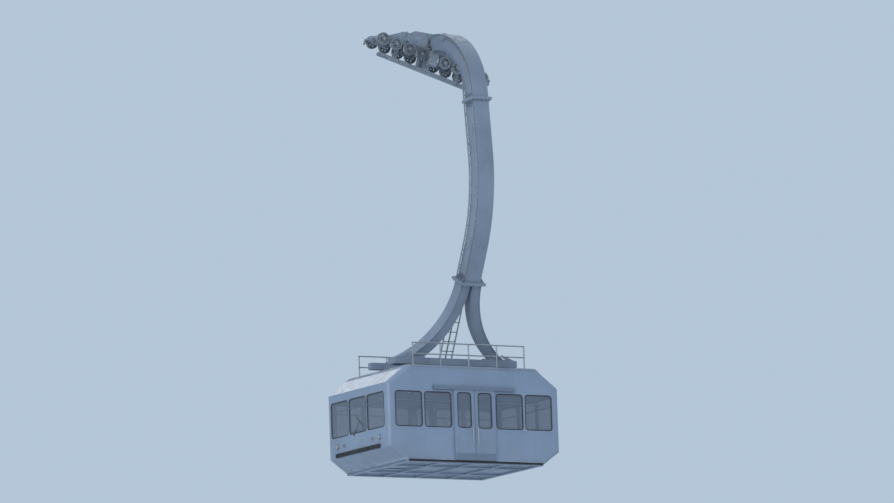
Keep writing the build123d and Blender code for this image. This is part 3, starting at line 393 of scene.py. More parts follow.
finishes = {
    "carriage_paint": painted_steel(CARRIAGE, grease=0.25),
    "bogie_paint": painted_steel(shade(CARRIAGE, 0.92), wear=0.6, grease=0.35),
    "shaft_steel": turned_steel((0.40, 0.41, 0.43), on_carriage(0, 0, PIVOT_HEIGHT)),
    "brake_paint": painted_steel((0.275, 0.312, 0.362), wear=0.6, grease=0.35),
    "hanger_paint": painted_steel((0.222, 0.268, 0.342), gloss=0.42, wear=0.35, dust=0.35, edge=0.007),
    "galvanised_steel": galvanised((0.36, 0.38, 0.40)),
    "damper_rubber": rubber(BLACK_RUBBER, 0.4),
    "cabin_paint": cabin_paint(CABIN),
    "roof_paint": roof_coating((0.253, 0.297, 0.363)),
    "underframe_paint": painted_steel((0.275, 0.330, 0.415), wear=0.4, dust=0.3),
    "floor_panel": floor_finish((0.330, 0.395, 0.495)),
    "window_glass": tinted_glass((0.185, 0.230, 0.300)),
    "door_paint": cabin_paint(shade(CABIN, 0.95)),
    "rail_aluminium": brushed((0.23, 0.28, 0.355), (0.2, 6, 6), 0.40, metallic=0.6),
    "buffer_rubber": rubber((0.045, 0.048, 0.054), 0.7),
    "lamp_lens": lamp_glass(),
    "equipment_paint": painted_steel((0.27, 0.30, 0.335), wear=0.4, dust=0.5),
    "handrail_steel": brushed((0.56, 0.57, 0.58), (8, 8, 0.3), 0.22),
    "locker_paint": painted_steel((0.40, 0.42, 0.44), dust=0.1),
    "desk_plastic": moulded_plastic((0.075, 0.080, 0.088)),
    "bright_steel": brushed((0.46, 0.47, 0.49), (3, 3, 3), 0.34),
    "reflector": brushed((0.80, 0.81, 0.82), (2, 9, 2), 0.10),
    "light_strip": glowing((0.86, 0.88, 0.86), 8.0),
}
for number, x in enumerate(AXLES, 1):
    hub = on_carriage(x, 0, AXLE_Z)
    finishes[f"wheel_steel_{number}"] = turned_steel((0.36, 0.385, 0.425), hub, polished=(0.150, 0.182))
for name, material in finishes.items():
    material.name = name

for subpart in frame["record"]["subparts"]:
    node, slot = subpart["node"], subpart["material_slot"]
    key = f"wheel_steel_{node.split('_')[-1]}" if slot == "wheel_steel" else slot
    mesh = frame["nodes"][node].data
    mesh.materials.clear()
    mesh.materials.append(finishes[key])


# Shapes of the added pieces


def about(middle, half):
    return middle - half, middle + half


def row(count, first, step):
    return [first + n * step for n in range(count)]


def circle(count, wide, high=None, first=0.0):
    """Points spread round a circle or an ellipse, as (x, y) pairs."""
    return [(wide * cos(a), (high or wide) * sin(a)) for a in row(count, first, 2 * pi / count)]


def facing(point, direction):
    """Placement at a point with the local Z axis along a direction."""
    return Matrix.Translation(point) @ Vector(direction).to_track_quat("Z", "Y").to_matrix().to_4x4()


def axes(point, x, y):
    """Placement at a point with its local X and Y axes along two directions."""
    place = Matrix((x, y, x.cross(y))).transposed().to_4x4()
    place.translation = point
    return place


def sideways(x, y, z):
    """A point of the carriage, and the direction out to its side."""
    return on_carriage(x, y, z), Y * copysign(1, y)


class Piece:
    """Gathers the parts of one added piece; make() turns them into an object on its body."""

    every = []
    crease = radians(34)

    def __init__(self, name, slot, finish=None, body="car", bevel=0.0, stands_for=()):
        self.name, self.slot, self.finish, self.body = name, slot, finish or slot, body
        self.bevel, self.stands_for = bevel, stands_for
        self.points, self.faces = [], []
        Piece.every.append(self)

    def add(self, points, faces):
        first = len(self.points)
        self.points += points
        self.faces += [tuple(first + n for n in face) for face in faces]

    def bar(self, x, y, z, place=Matrix()):
        """Box between pairs of coordinates."""
        points = [place @ Vector(corner) for corner in product(sorted(x), sorted(y), sorted(z))]
        self.add(points, [(0, 1, 3, 2), (4, 6, 7, 5), (0, 4, 5, 1), (2, 3, 7, 6), (0, 2, 6, 4), (1, 5, 7, 3)])

    def rings(self, rings, closed=False):
        """Skin over rings of points; open runs get flat ends."""
        count, last = len(rings[0]), (len(rings) - 1) * len(rings[0])
        faces = []
        for a, n in product(range(len(rings) if closed else len(rings) - 1), range(count)):
            b, m = (a + 1) % len(rings), (n + 1) % count
            faces.append((a * count + n, a * count + m, b * count + m, b * count + n))
        if not closed:
            faces += [tuple(reversed(range(count))), tuple(range(last, last + count))]
        self.add([p for ring in rings for p in ring], faces)

    def turned(self, profile, place, sides, closed=False):
        """Profile of (radius, height) pairs turned about the placement's Z axis."""
        self.rings([[place @ Vector((x, y, h)) for x, y in circle(sides, r, first=pi / sides)]
                    for r, h in profile], closed)

    def ring(self, profile, place, sides):
        """Turned shape whose profile is a loop."""
        self.turned(profile, place, sides, closed=True)

    def swept(self, frames, profile, closed=False):
        """Profile of (a, b) pairs carried along frames of (point, a's direction, b's direction)."""
        self.rings([[p + u * a + v * b for a, b in profile] for p, u, v in frames], closed)

    def tube(self, path, radius, sides=8, side=X):
        """Round bar along (point, tangent) pairs; side is any direction the path never takes."""
        across = [side.cross(tangent).normalized() for _, tangent in path]
        self.swept([(p, a, t.cross(a)) for (p, t), a in zip(path, across)], circle(sides, radius))

    def prism(self, outline, low, high, place):
        """Outline of (x, y) pairs between two heights along the placement's Z axis."""
        self.rings([[place @ Vector((x, y, h)) for x, y in outline] for h in (low, high)])

    def bolt(self, point, direction, across=0.024, washer=True):
        """Hexagon head on its washer."""
        place = facing(point, direction)
        base = across * 0.12 if washer else 0.0
        if washer:
            self.turned([(across * 0.95, 0), (across * 0.95, base)], place, 14)
        flat = across / 2 / cos(pi / 6)
        self.turned([(flat, base), (flat, base + across * 0.5), (flat * 0.86, base + across * 0.6)], place, 6)

    def rivet(self, point, direction, radius):
        dome = [(radius, 0), (radius * 0.8, radius * 0.35), (radius * 0.35, radius * 0.5)]
        self.turned(dome, facing(point, direction), 8)

    def make(self):
        mesh = bpy.data.meshes.new(self.name)
        mesh.from_pydata(self.points, [], self.faces)
        work = bmesh.new()
        work.from_mesh(mesh)
        bmesh.ops.recalc_face_normals(work, faces=work.faces)
        for face in work.faces:
            face.smooth = True
        work.to_mesh(mesh)
        work.free()
        mesh.set_sharp_from_angle(angle=self.crease)
        mesh.materials.append(finishes[self.finish])
        piece = bpy.data.objects.new(self.name, mesh)
        bpy.context.collection.objects.link(piece)
        if self.bevel:
            rounding = piece.modifiers.new("rounding", "BEVEL")
            rounding.width, rounding.segments, rounding.angle_limit = self.bevel, 2, self.crease
        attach(piece, self.body)
        if self.stands_for:
            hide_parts(*self.stands_for)


def rounded_path(corners, radius, steps=8):
    """Line through corners with round bends, as (point, tangent) pairs."""
    corners = [Vector(c) for c in corners]
    ways = [(b - a).normalized() for a, b in zip(corners, corners[1:])]
    radii = radius if isinstance(radius, tuple) else [radius] * len(corners)
    path = [(corners[0], ways[0])]
    for corner, first, second, r in zip(corners[1:], ways, ways[1:], radii):
        angle = first.angle(second)
        axis = first.cross(second).normalized()
        start = corner - first * r * tan(angle / 2)
        centre = start + axis.cross(first) * r
        for a in row(steps + 1, 0.0, angle / steps):
            bend = Matrix.Rotation(a, 3, axis)
            path.append((centre + bend @ (start - centre), bend @ first))
    return path + [(corners[-1], ways[-1])]


def staple(start, out, along, bend, steps=8):
    """Path of a U-shaped handle: out from its start, along, and back in."""
    start = Vector(start)
    return rounded_path([start, start + out, start + out + along, start + along], bend, steps)


def loop_frames(centre, half_wide, half_high, corner, along, up):
    """Frames round a rounded rectangle: each point, its inward direction and the wall's outward one."""
    out, steps = along.cross(up), 6
    frames = []
    for quarter, (sx, sy) in enumerate(((1, 1), (-1, 1), (-1, -1), (1, -1))):
        middle = centre + along * sx * (half_wide - corner) + up * sy * (half_high - corner)
        for n in range(steps + 1):
            a = pi / 2 * (quarter + n / steps)
            ray = along * cos(a) + up * sin(a)
            frames.append((middle + ray * corner, -ray, out))
    return frames


def outline_of(frames):
    return [point for point, _, _ in frames]


# Carriage dress


def main_beam_dress():
    """Bolted hand-hole covers in the webs, rims round the pivots, and lifting lugs."""
    covers = Piece("main_beam_covers", "carriage_paint", body="carriage", bevel=0.0015)
    bolts = Piece("main_beam_cover_bolts", "shaft_steel", "bright_steel", "carriage")
    large, small, middle_z = ((-0.61, 0.13), (0.61, 0.13)), ((0.31, 0.08), (-0.31, 0.08)), 0.61
    for side in SIDES:
        web = side * WEB_FACE
        for x, half in large + small if side > 0 else large:
            place = TILT @ moved(x, web, middle_z) @ rotated(side * pi / 2, "X")
            covers.prism(circle(32, half, 0.075), 0.002, -0.005, place)
            for dx, dz in circle(8, half - 0.016, 0.061, pi / 8):
                bolts.bolt(*sideways(x + dx, web + side * 0.005, middle_z + dz), 0.010, False)
        for x in BEAMS:
            rim = [(0.098, 0), (0.098, 0.005), (0.080, 0.005), (0.080, 0)]
            covers.ring(rim, facing(*sideways(x, side * (WEB_FACE + 0.0115), BEAM_Z)), 32)
    for x in (0.55, -0.86):
        top = 0.866 - 0.189 * (abs(x) - 0.043)
        lug = [(-0.07, -0.02), (0.07, -0.02), (0.045, 0.048), (0.02, 0.076), (-0.02, 0.076), (-0.045, 0.048)]
        covers.prism(lug, 0, 0.024, TILT @ moved(x, 0.012, top) @ rotated(pi / 2, "X"))
        eye = [(0.018, -0.016), (0.030, -0.016), (0.030, 0.016), (0.018, 0.016)]
        bolts.ring(eye, facing(*sideways(x, 0.0, top + 0.040)), 20)


def shaft_dress():
    """Bolts that hold the shaft's flange to the main beam, and the collar inside them."""
    bolts = Piece("shaft_flange_bolts", "shaft_steel", body="carriage")
    for dx, dz in circle(12, 0.178):
        bolts.bolt(*sideways(dx, -0.245, PIVOT_HEIGHT + dz), 0.036)
    collar = [(0.150, 0), (0.150, 0.012), (0.132, 0.022), (0.1305, 0.0)]
    bolts.ring(collar, facing(*sideways(0, -0.245, PIVOT_HEIGHT)), 48)


def pin_caps(name, body, x, z, face, radius, thick, spots):
    """End caps of a pivot pin, with lock bolts and a grease nipple."""
    caps = Piece(f"{name}_caps", "bogie_paint", body=body, bevel=0.001)
    studs = Piece(f"{name}_bolts", "shaft_steel", "bright_steel", body)
    dish = thick * 0.7
    cap = [(radius, 0), (radius, dish), (radius - 0.004, thick), (radius * 0.45, thick), (radius * 0.40, dish)]
    nipple = [(0.007, 0), (0.007, 0.006), (0.004, 0.008), (0.005, 0.012), (0.003, 0.014)]
    for side in SIDES:
        caps.turned(cap, facing(*sideways(x, side * face, z)), 32)
        for dx, dz in circle(spots, radius * 0.72, first=0.4):
            studs.bolt(*sideways(x + dx, side * (face + thick), z + dz), radius * 0.22, False)
        studs.turned(nipple, facing(*sideways(x, side * (face + dish), z)), 10)


def beam_dress(end, x):
    """Pin caps of a balance beam, and rims round the windows in its plates."""
    body = f"balance_beam_{end}"
    pin_caps(f"beam_pin_{end}", body, x, BEAM_Z, BEAM_FACE, 0.062, 0.014, 4)
    rims = Piece(f"beam_window_rims_{end}", "bogie_paint", body=body, bevel=0.001)
    rim = [(0.067, -0.001), (0.067, 0.004), (0.0555, 0.004), (0.0545, -0.029), (0.056, -0.029)]
    for side, dx in product(SIDES, (-0.185, 0.185)):
        rims.ring(rim, facing(*sideways(x + dx, side * BEAM_FACE, 0.3893)), 28)


def rocker_dress(number, x):
    """Pin caps of a rocker, and the blades and bolts in the scrapers of the two end ones."""
    body = f"rocker_{number}"
    pin_caps(f"rocker_pin_{number}", body, x, ROCKER_Z, ROCKER_FACE, 0.050, 0.009, 3)
    if x not in (ROCKERS[0], ROCKERS[-1]):
        return
    screws = Piece(f"scraper_bolts_{number}", "shaft_steel", "bright_steel", body)
    blades = Piece(f"scraper_blades_{number}", "buffer_rubber", "damper_rubber", body, 0.001)
    way = copysign(1, x)
    for lane in (-GAUGE_HALF, GAUGE_HALF):
        for dy, z in product((-0.018, 0.018), (0.075, 0.130)):
            screws.bolt(on_carriage(x + way * 0.465, lane + dy, z), DOWN_TRACK * way, 0.014)
        blades.bar(about(x + way * 0.4675, 0.003), about(lane, 0.034), (0.0335, 0.062), TILT)


def wheel_dress(number, x):
    """Hub caps with their bolts, and seal rings, on both wheels of an axle."""
    dress = Piece(f"wheel_dress_{number}", "wheel_steel", "bright_steel", f"wheel_pair_{number}")
    for side in SIDES:
        for dx, dz in circle(8, 0.0555):
            dress.bolt(*sideways(x + dx, side * HUB_FACE, AXLE_Z + dz), 0.011, False)
        cap = facing(*sideways(x, side * (HUB_FACE + 0.010), AXLE_Z))
        dress.turned([(0.036, 0), (0.034, 0.004), (0.016, 0.005), (0.014, 0.002)], cap, 24)
        for dx, dz in circle(3, 0.027, first=0.3):
            dress.bolt(*sideways(x + dx, side * (HUB_FACE + 0.0145), AXLE_Z + dz), 0.008, False)
        seal = facing(*sideways(x, side * 0.289, AXLE_Z))
        dress.ring([(0.062, 0.003), (0.062, -0.003), (0.046, -0.004), (0.046, 0.002)], seal, 28)


def brake_dress():
    """Brake chambers with clamp rings, friction blocks, and pipes from the power pack."""
    chambers = Piece("brake_chambers", "brake_paint", body="carriage", bevel=0.001)
    pipes = Piece("brake_pipes", "galvanised_steel", "bright_steel", "carriage")
    drum = [(0.060, 0.0), (0.0605, 0.030), (0.071, 0.034), (0.071, 0.050), (0.0605, 0.054),
            (0.0615, 0.080), (0.050, 0.090), (0.020, 0.092)]
    for side in SIDES:
        lane, pipe = side * GAUGE_HALF, side * 0.222
        chambers.turned(drum, facing(on_carriage(0, lane, 0.390), UP_TRACK), 32)
        pipes.bolt(on_carriage(0, lane, 0.482), UP_TRACK, 0.018, False)
        for dx, dy in circle(8, 0.0655, first=0.2):
            pipes.bolt(on_carriage(dx, lane + dy, 0.440), UP_TRACK, 0.009, False)
        for x, z in product((-0.09, 0.0, 0.09), (0.06, 0.20)):
            pipes.bolt(*sideways(x, side * 0.445, z), 0.022)
        run = [(-0.26, side * 0.13, 0.862), (-0.26, pipe, 0.862), (-0.26, pipe, 0.46), (-0.05, lane, 0.452)]
        pipes.tube(rounded_path([on_carriage(*p) for p in run], 0.03), 0.007, side=Vector((1, 0.1, 0.4)))
        for z in (0.78, 0.50):
            pipes.bar(about(-0.26, 0.017), (side * 0.190, side * 0.231), about(z, 0.011), TILT)
        for block in (lane - 0.02775, lane + 0.02775):
            chambers.bar((-0.118, 0.118), about(block, 0.00275), (-0.040, 0.030), TILT)


def unit_dress():
    """Lid, hinges, louvres, filler and gauge of the power pack on the main beam."""
    unit = TILT @ moved(-0.33, 0, 0.8083) @ rotated(radians(-10.59), "Y")
    box = Piece("power_pack_cover", "brake_paint", body="carriage", bevel=0.0015)
    bits = Piece("power_pack_fittings", "shaft_steel", "bright_steel", "carriage", 0.001)
    box.bar((-0.314, 0.314), (-0.134, 0.134), (0.086, 0.094), unit)
    for side in SIDES:
        for x in row(7, -0.24, 0.034):
            blade = unit @ moved(x, side * 0.131, 0.055) @ rotated(side * 0.6, "Z")
            box.bar((-0.013, 0.013), (-0.002, 0.002), (-0.022, 0.022), blade)
        for x in (0.06, 0.24):
            bits.bar(about(x, 0.018), (side * 0.130, side * 0.139), (0.066, 0.100), unit)
    filler = [(0.034, 0), (0.034, 0.014), (0.030, 0.020), (0.012, 0.020)]
    gauge = [(0.022, 0), (0.022, 0.016), (0.018, 0.016), (0.017, 0.010)]
    bits.turned(filler, unit @ moved(0.22, 0.05, 0.109), 24)
    bits.turned(gauge, unit @ moved(0.10, -0.06, 0.109), 24)


def drawbar_dress():
    """Gussets and bolts on the haul drawbar's posts, and bushes in its clevises."""
    plates = Piece("drawbar_plates", "brake_paint", body="carriage", bevel=0.001)
    bolts = Piece("drawbar_bolts", "shaft_steel", "bright_steel", "carriage")
    for side in SIDES:
        face = side * 0.060
        for x, half, thick in ((0.0, 0.16, 0.0), (-0.45, 0.11, 0.008), (0.45, 0.11, 0.008)):
            if thick:
                plates.bar(about(x, half), (face, face + side * thick), (-0.225, -0.145), TILT)
            for dx, z in product((-0.6, 0.6), (-0.207, -0.163)):
                bolts.bolt(*sideways(x + dx * half, face + side * thick, z), 0.022)
        for x in (-1.6, 1.6):
            bush = [(0.048, -0.001), (0.046, 0.005), (0.027, 0.005), (0.026, -0.001)]
            plates.ring(bush, facing(*sideways(x, face, -0.185)), 32)


# Hanger dress


def mast_y(z):
    """Middle of the straight lower mast at a height."""
    return MAST_BULGE[0] + MAST_SLOPE * (MAST_BULGE[1] - z)


# Centre line from the sleeve to the fork splice, as (point, tangent) pairs
GIRDER = rounded_path(
    [(0, -GIRDER_START, PIVOT_Z), (0, *MAST_TOP), (0, *MAST_BULGE), (0, mast_y(-FORK_SPLICE), -FORK_SPLICE)],
    (SHOULDER_BEND, BULGE_BEND), 28)
FORK_LEAN = atan(MAST_SLOPE)
FORK_DOWN = Vector((0, sin(FORK_LEAN), -cos(FORK_LEAN)))
FORK_ACROSS = Vector((0, cos(FORK_LEAN), sin(FORK_LEAN)))


def girder_frames(x, inwards, path=GIRDER):
    """Frames beside the girder's centre line: sideways is X, inwards is towards the C's hollow."""
    return [(p + X * x + X.cross(t) * inwards, X, X.cross(t)) for p, t in path]


def girder_spot(drop):
    """Point, tangent and inward direction of the girder's centre line at a depth under the track."""
    falling = [(p, t) for p, t in GIRDER if t.z < -0.5]
    for (p, t), (q, s) in zip(falling, falling[1:]):
        if q.z - 1e-5 <= -drop <= p.z:
            share = (p.z + drop) / (p.z - q.z)
            tangent = t.lerp(s, share).normalized()
            return p.lerp(q, share), tangent, X.cross(tangent)


def leg_frames(side, r, across):
    """Frames down a fork leg: r is towards the middle, across is square to the fork's plane."""
    root = girder_spot(FORK_SPLICE)[0]
    drop = (root.z - FRAME_TOP) / cos(FORK_LEAN)
    turn = 2 * atan2(FORK_SPREAD - LEG_ROOT, drop)
    bend = drop / sin(turn)
    frames = []
    for a in row(17, 0.0, turn / 16):
        middle = root + X * side * (LEG_ROOT + bend * (1 - cos(a))) + FORK_DOWN * bend * sin(a)
        outwards = X * side * cos(a) - FORK_DOWN * sin(a)
        frames.append((middle - outwards * r + FORK_ACROSS * across, outwards, FORK_ACROSS))
    return frames


def weld_lines():
    """Fillet welds where the girder's and the legs' side plates meet their flanges."""
    welds = Piece("hanger_welds", "hanger_paint")
    bead = [(0.007, 0.0), (0.0, 0.007), (-0.004, 0.004), (-0.007, 0.0), (-0.004, -0.004), (0.0, -0.007)]
    for x, inwards in product((-0.231, 0.231), (-0.208, 0.208)):
        welds.swept(girder_frames(x, inwards), bead)
    for side, across, r in product(SIDES, (-0.177, 0.177), (-0.125, 0.125)):
        welds.swept(leg_frames(side, r, across), bead)


def splices():
    """Bolts, nuts and stiffeners at the two joints of the hanger."""
    bolts = Piece("splice_bolts", "hanger_paint", "galvanised_steel")
    ribs = Piece("splice_ribs", "hanger_paint", bevel=0.0015)
    flange = 0.040
    for drop, half_x, count, ways in ((ARM_SPLICE, 0.335, 3, SIDES), (FORK_SPLICE, LEG_ROOT + 0.225, 5, (-1,))):
        point, tangent, inner = girder_spot(drop)
        edge = half_x - 0.042
        spots = [*product((-edge, edge), row(5, -0.224, 0.112))]
        spots += [((n / count - 0.5) * 2 * (edge - 0.09), s * 0.275) for s in SIDES for n in range(count + 1)]
        for x, inwards in spots:
            spot = point + X * x + inner * inwards
            bolts.bolt(spot - tangent * flange, -tangent, 0.036)
            bolts.bolt(spot + tangent * flange, tangent, 0.036)
            bolts.turned([(0.012, flange), (0.012, 0.072), (0.010, 0.075)], facing(spot, tangent), 10)
        for way, s, inwards in product(ways, SIDES, row(4, -0.168, 0.112)):
            along, out = tangent * way, X * s
            base = point + inner * (inwards - 0.006) + along * flange + out * 0.229
            plate = [base, base + out * (half_x - 0.245), base + out * 0.012 + along * 0.20, base + along * 0.20]
            ribs.rings([plate, [p + inner * 0.012 for p in plate]])


def mast_lines():
    """Clipped conduits in the recess of the mast's uphill web, their junction box, and hand-hole covers."""
    lines = Piece("mast_conduits", "galvanised_steel")
    covers = Piece("mast_covers", "hanger_paint", bevel=0.0015)
    bolts = Piece("mast_cover_bolts", "galvanised_steel", "bright_steel")
    recess, middle = X * -0.2435, -0.1325
    path = [(p, t) for p, t in GIRDER if p.z < 0.60]
    for inwards in (-0.150, -0.115):
        lines.tube([(p + recess + X.cross(t) * inwards, t) for p, t in path], 0.012)
    for drop in row(9, 1.75, 0.55):
        point, tangent, inner = girder_spot(drop)
        clip = axes(point + recess + inner * middle, inner, tangent)
        lines.bar((-0.037, 0.037), (-0.014, 0.014), (-0.016, 0.016), clip)
    point, tangent = path[0]
    inner = X.cross(tangent)
    box = axes(point - X * 0.229 + inner * middle, inner, tangent)
    covers.bar((-0.070, 0.070), (-0.150, 0.0), (-0.002, 0.052), box)
    covers.bar((-0.074, 0.074), (-0.154, 0.004), (0.052, 0.058), box)
    for x, y in product((-0.058, 0.058), (-0.138, -0.012)):
        bolts.bolt(box @ Vector((x, y, 0.058)), -X, 0.010, False)
    gland = [(0.019, -0.002), (0.019, 0.012), (0.016, 0.020), (0.0125, 0.024)]
    for x in (-0.0175, 0.0175):
        bolts.turned(gland, facing(box @ Vector((x, 0, 0.0145)), tangent), 16)
    for drop, s in product((2.25, 4.05, 5.55), SIDES):
        point, tangent, inner = girder_spot(drop)
        out = X * s
        hole = point + out * 0.230 + inner * 0.035
        plate = [hole + inner * x + tangent * y for x, y in circle(40, 0.075, 0.15)]
        covers.rings([[p + out * h for p in plate] for h in (-0.001, 0.009)])
        for x, y in circle(10, 0.061, 0.134, pi / 10):
            bolts.bolt(hole + out * 0.009 + inner * x + tangent * y, out, 0.014)


def sleeve_dress():
    """Seal ring and its bolts on the hanger's bearing sleeve."""
    seal = Piece("sleeve_seal_ring", "hanger_paint", bevel=0.001)
    bolts = Piece("sleeve_ring_bolts", "galvanised_steel", "bright_steel")
    profile = [(0.246, -0.002), (0.246, 0.008), (0.236, 0.014), (0.160, 0.014), (0.140, 0.008), (0.136, -0.002)]
    seal.ring(profile, facing((0, 0.04 - GIRDER_START, PIVOT_Z), Y), 56)
    for dx, dz in circle(16, 0.198, first=pi / 16):
        bolts.bolt((dx, 0.054 - GIRDER_START, PIVOT_Z + dz), Y, 0.022, False)


def ladder_dress():
    """Fall-arrest rail down the middle of the ladder."""
    rail = Piece("ladder_safety_rail", "galvanised_steel", bevel=0.001)
    foot_z = -9.0
    path = [(p, t) for p, t in GIRDER if -FORK_SPLICE + 0.02 < p.z < -0.9]
    path.append((Vector((0, mast_y(foot_z), foot_z)), GIRDER[-1][1]))
    tee = [(-0.022, 0.012), (0.022, 0.012), (0.022, 0.018), (0.004, 0.018),
           (0.004, 0.040), (-0.004, 0.040), (-0.004, 0.018), (-0.022, 0.018)]
    rail.swept(girder_frames(0, GIRDER_DEPTH / 2 + 0.17, path), tee)


def leg_feet():
    """Base plates with bolts and gussets where the fork legs stand on the frame."""
    plates = Piece("leg_base_plates", "hanger_paint", bevel=0.002)
    bolts = Piece("leg_base_bolts", "galvanised_steel")
    gussets = (((1.28, 0), (1.12, 0), (1.115, 0.03), (1.14, 0.075), (1.28, 0.075)),
               ((1.70, 0), (1.89, 0), (1.88, 0.02), (1.56, 0.145), (1.50, 0.10)))
    for side in SIDES:
        plates.bar((side * 1.06, side * 1.94), (-0.885, -0.415), (FRAME_TOP, FRAME_TOP + 0.020))
        for x, y in product((1.10, 1.90), row(4, -0.80, 0.10)):
            bolts.bolt((side * x, y, FRAME_TOP + 0.020), Z, 0.034)
        for y, outline in product((-0.868, -0.438), gussets):
            plates.rings([[Vector((side * x, y + d, FRAME_TOP + 0.019 + h)) for x, h in outline] for d in (0, 0.014)])


def frame_dress():
    """Closing plates, bolts and rubber mounts of the suspension frame."""
    plates = Piece("frame_plates", "hanger_paint", bevel=0.0015)
    bolts = Piece("frame_bolts", "galvanised_steel")
    mounts = Piece("rubber_mounts", "damper_rubber", stands_for=("suspension_dampers",))
    discs = Piece("rubber_mount_plates", "damper_rubber", "galvanised_steel")
    low = FRAME_TOP - 0.20
    for side in SIDES:
        for y0, y1 in ((-0.88, -0.42), (0.54, 0.76)):
            plates.bar((side * 2.049, side * 2.061), (y0 + 0.012, y1 - 0.012), (low + 0.012, FRAME_TOP - 0.012))
            for z, y in product((low + 0.04, FRAME_TOP - 0.04), (y0 + 0.045, y1 - 0.045)):
                bolts.bolt((side * 2.061, y, z), X * side, 0.022)
        for y, way in ((-0.42, 1), (0.54, -1)):
            for x in (side * 1.5 - 0.105, side * 1.5 + 0.105):
                plates.bar(about(x, 0.007), (y, y + way * 0.16), (FRAME_TOP - 0.001, FRAME_TOP + 0.012))
            for dx, d in product((-0.06, 0.06), (0.05, 0.11)):
                bolts.bolt((side * 1.5 + dx, y + way * d, FRAME_TOP), Z, 0.026)
        for x, (y, out, r) in product((0.55, 1.0), ((0.76, Y, 0.052), (-0.88, -Y, 0.062))):
            lid = [(r, 0), (r, 0.004), (r - 0.006, 0.006), (r - 0.018, 0.006)]
            plates.turned(lid, facing((side * x, y, low + 0.1), out), 28)
    cushion = [(0.118, 0.012), (0.134, 0.028), (0.138, 0.042), (0.130, 0.060), (0.118, 0.068), (0.118, 0.080),
               (0.130, 0.088), (0.138, 0.106), (0.134, 0.122), (0.118, 0.138)]
    for x, y in product((-1.5, 1.5), (-0.65, 0.65)):
        place = moved(x, y, ROOF_Z)
        mounts.turned(cushion, place, 40)
        for h in (0.0, 0.068, 0.136):
            discs.turned([(0.150, h), (0.150, h + 0.010), (0.147, h + 0.0138)], place, 40)
        for dx, dy in circle(6, 0.1349):
            discs.bolt((x + dx, y + dy, ROOF_Z + 0.0138), Z, 0.012, False)


# Cabin dress


def window_places():
    """Middle, half width and direction along the wall of each fixed window."""
    for side in SIDES:
        for end, (low, high) in product(SIDES, SIDE_WINDOWS):
            yield Vector((end * (low + high) / 2, side * HALF_WIDTH, WINDOW_MID)), (high - low) / 2, X * -side
        for low, high in END_WINDOWS:
            yield Vector((side * HALF_LENGTH, (low + high) / 2, WINDOW_MID)), (high - low) / 2, Y * side


def window_dress():
    """Rubber glazing seals, inside trims and the bars of the hopper lights."""
    seals = Piece("window_seals", "buffer_rubber")
    trims = Piece("window_trims", "desk_plastic")
    bars = Piece("hopper_bars", "rail_aluminium", bevel=0.002)
    outer = [(-0.014, -0.002), (-0.014, 0.002), (-0.009, 0.0038), (0.008, 0.0034),
             (0.016, -0.004), (0.016, -0.0145), (-0.002, -0.0145)]
    inner = [(-0.003, -0.0255), (0.014, -0.0255), (0.014, -0.034), (0.006, -0.041), (-0.003, -0.041)]
    trim = [(-0.030, -0.0595), (-0.030, -0.064), (0.004, -0.066), (0.006, -0.048), (-0.002, -0.048)]
    for middle, half, along in window_places():
        frames = loop_frames(middle, half, WINDOW_HALF, WINDOW_ROUND, along, Z)
        for piece, profile in ((seals, outer), (seals, inner), (trims, trim)):
            piece.swept(frames, profile, closed=True)
        place = axes(middle + Z * (WINDOW_HALF - 0.27), along, Z)
        width = (0.012 - half, half - 0.012)
        bars.bar(width, (-0.013, 0.013), (-0.0155, -0.004), place)
        bars.bar(width, (-0.016, 0.016), (-0.040, -0.0255), place)
        for x in (-half * 0.5, half * 0.5):
            bars.bar(about(x, 0.035), (0.014, 0.034), (-0.044, -0.0255), place)


def offset_side(inset, top, bottom):
    """Side outline of the cabin's end moved in, from the top to the bottom, as (x, z)."""
    upper, lower = atan2(*UPPER_CUT), atan2(*LOWER_CUT)
    belt = HALF_LENGTH - inset
    high = ROOF_Z - UPPER_CUT[1] - inset * tan(upper / 2)
    low = BOTTOM_Z + LOWER_CUT[1] + inset * tan(lower / 2)
    return [(belt - (top - high) * tan(upper), top), (belt, high),
            (belt, low), (belt - (low - bottom) * tan(lower), bottom)]


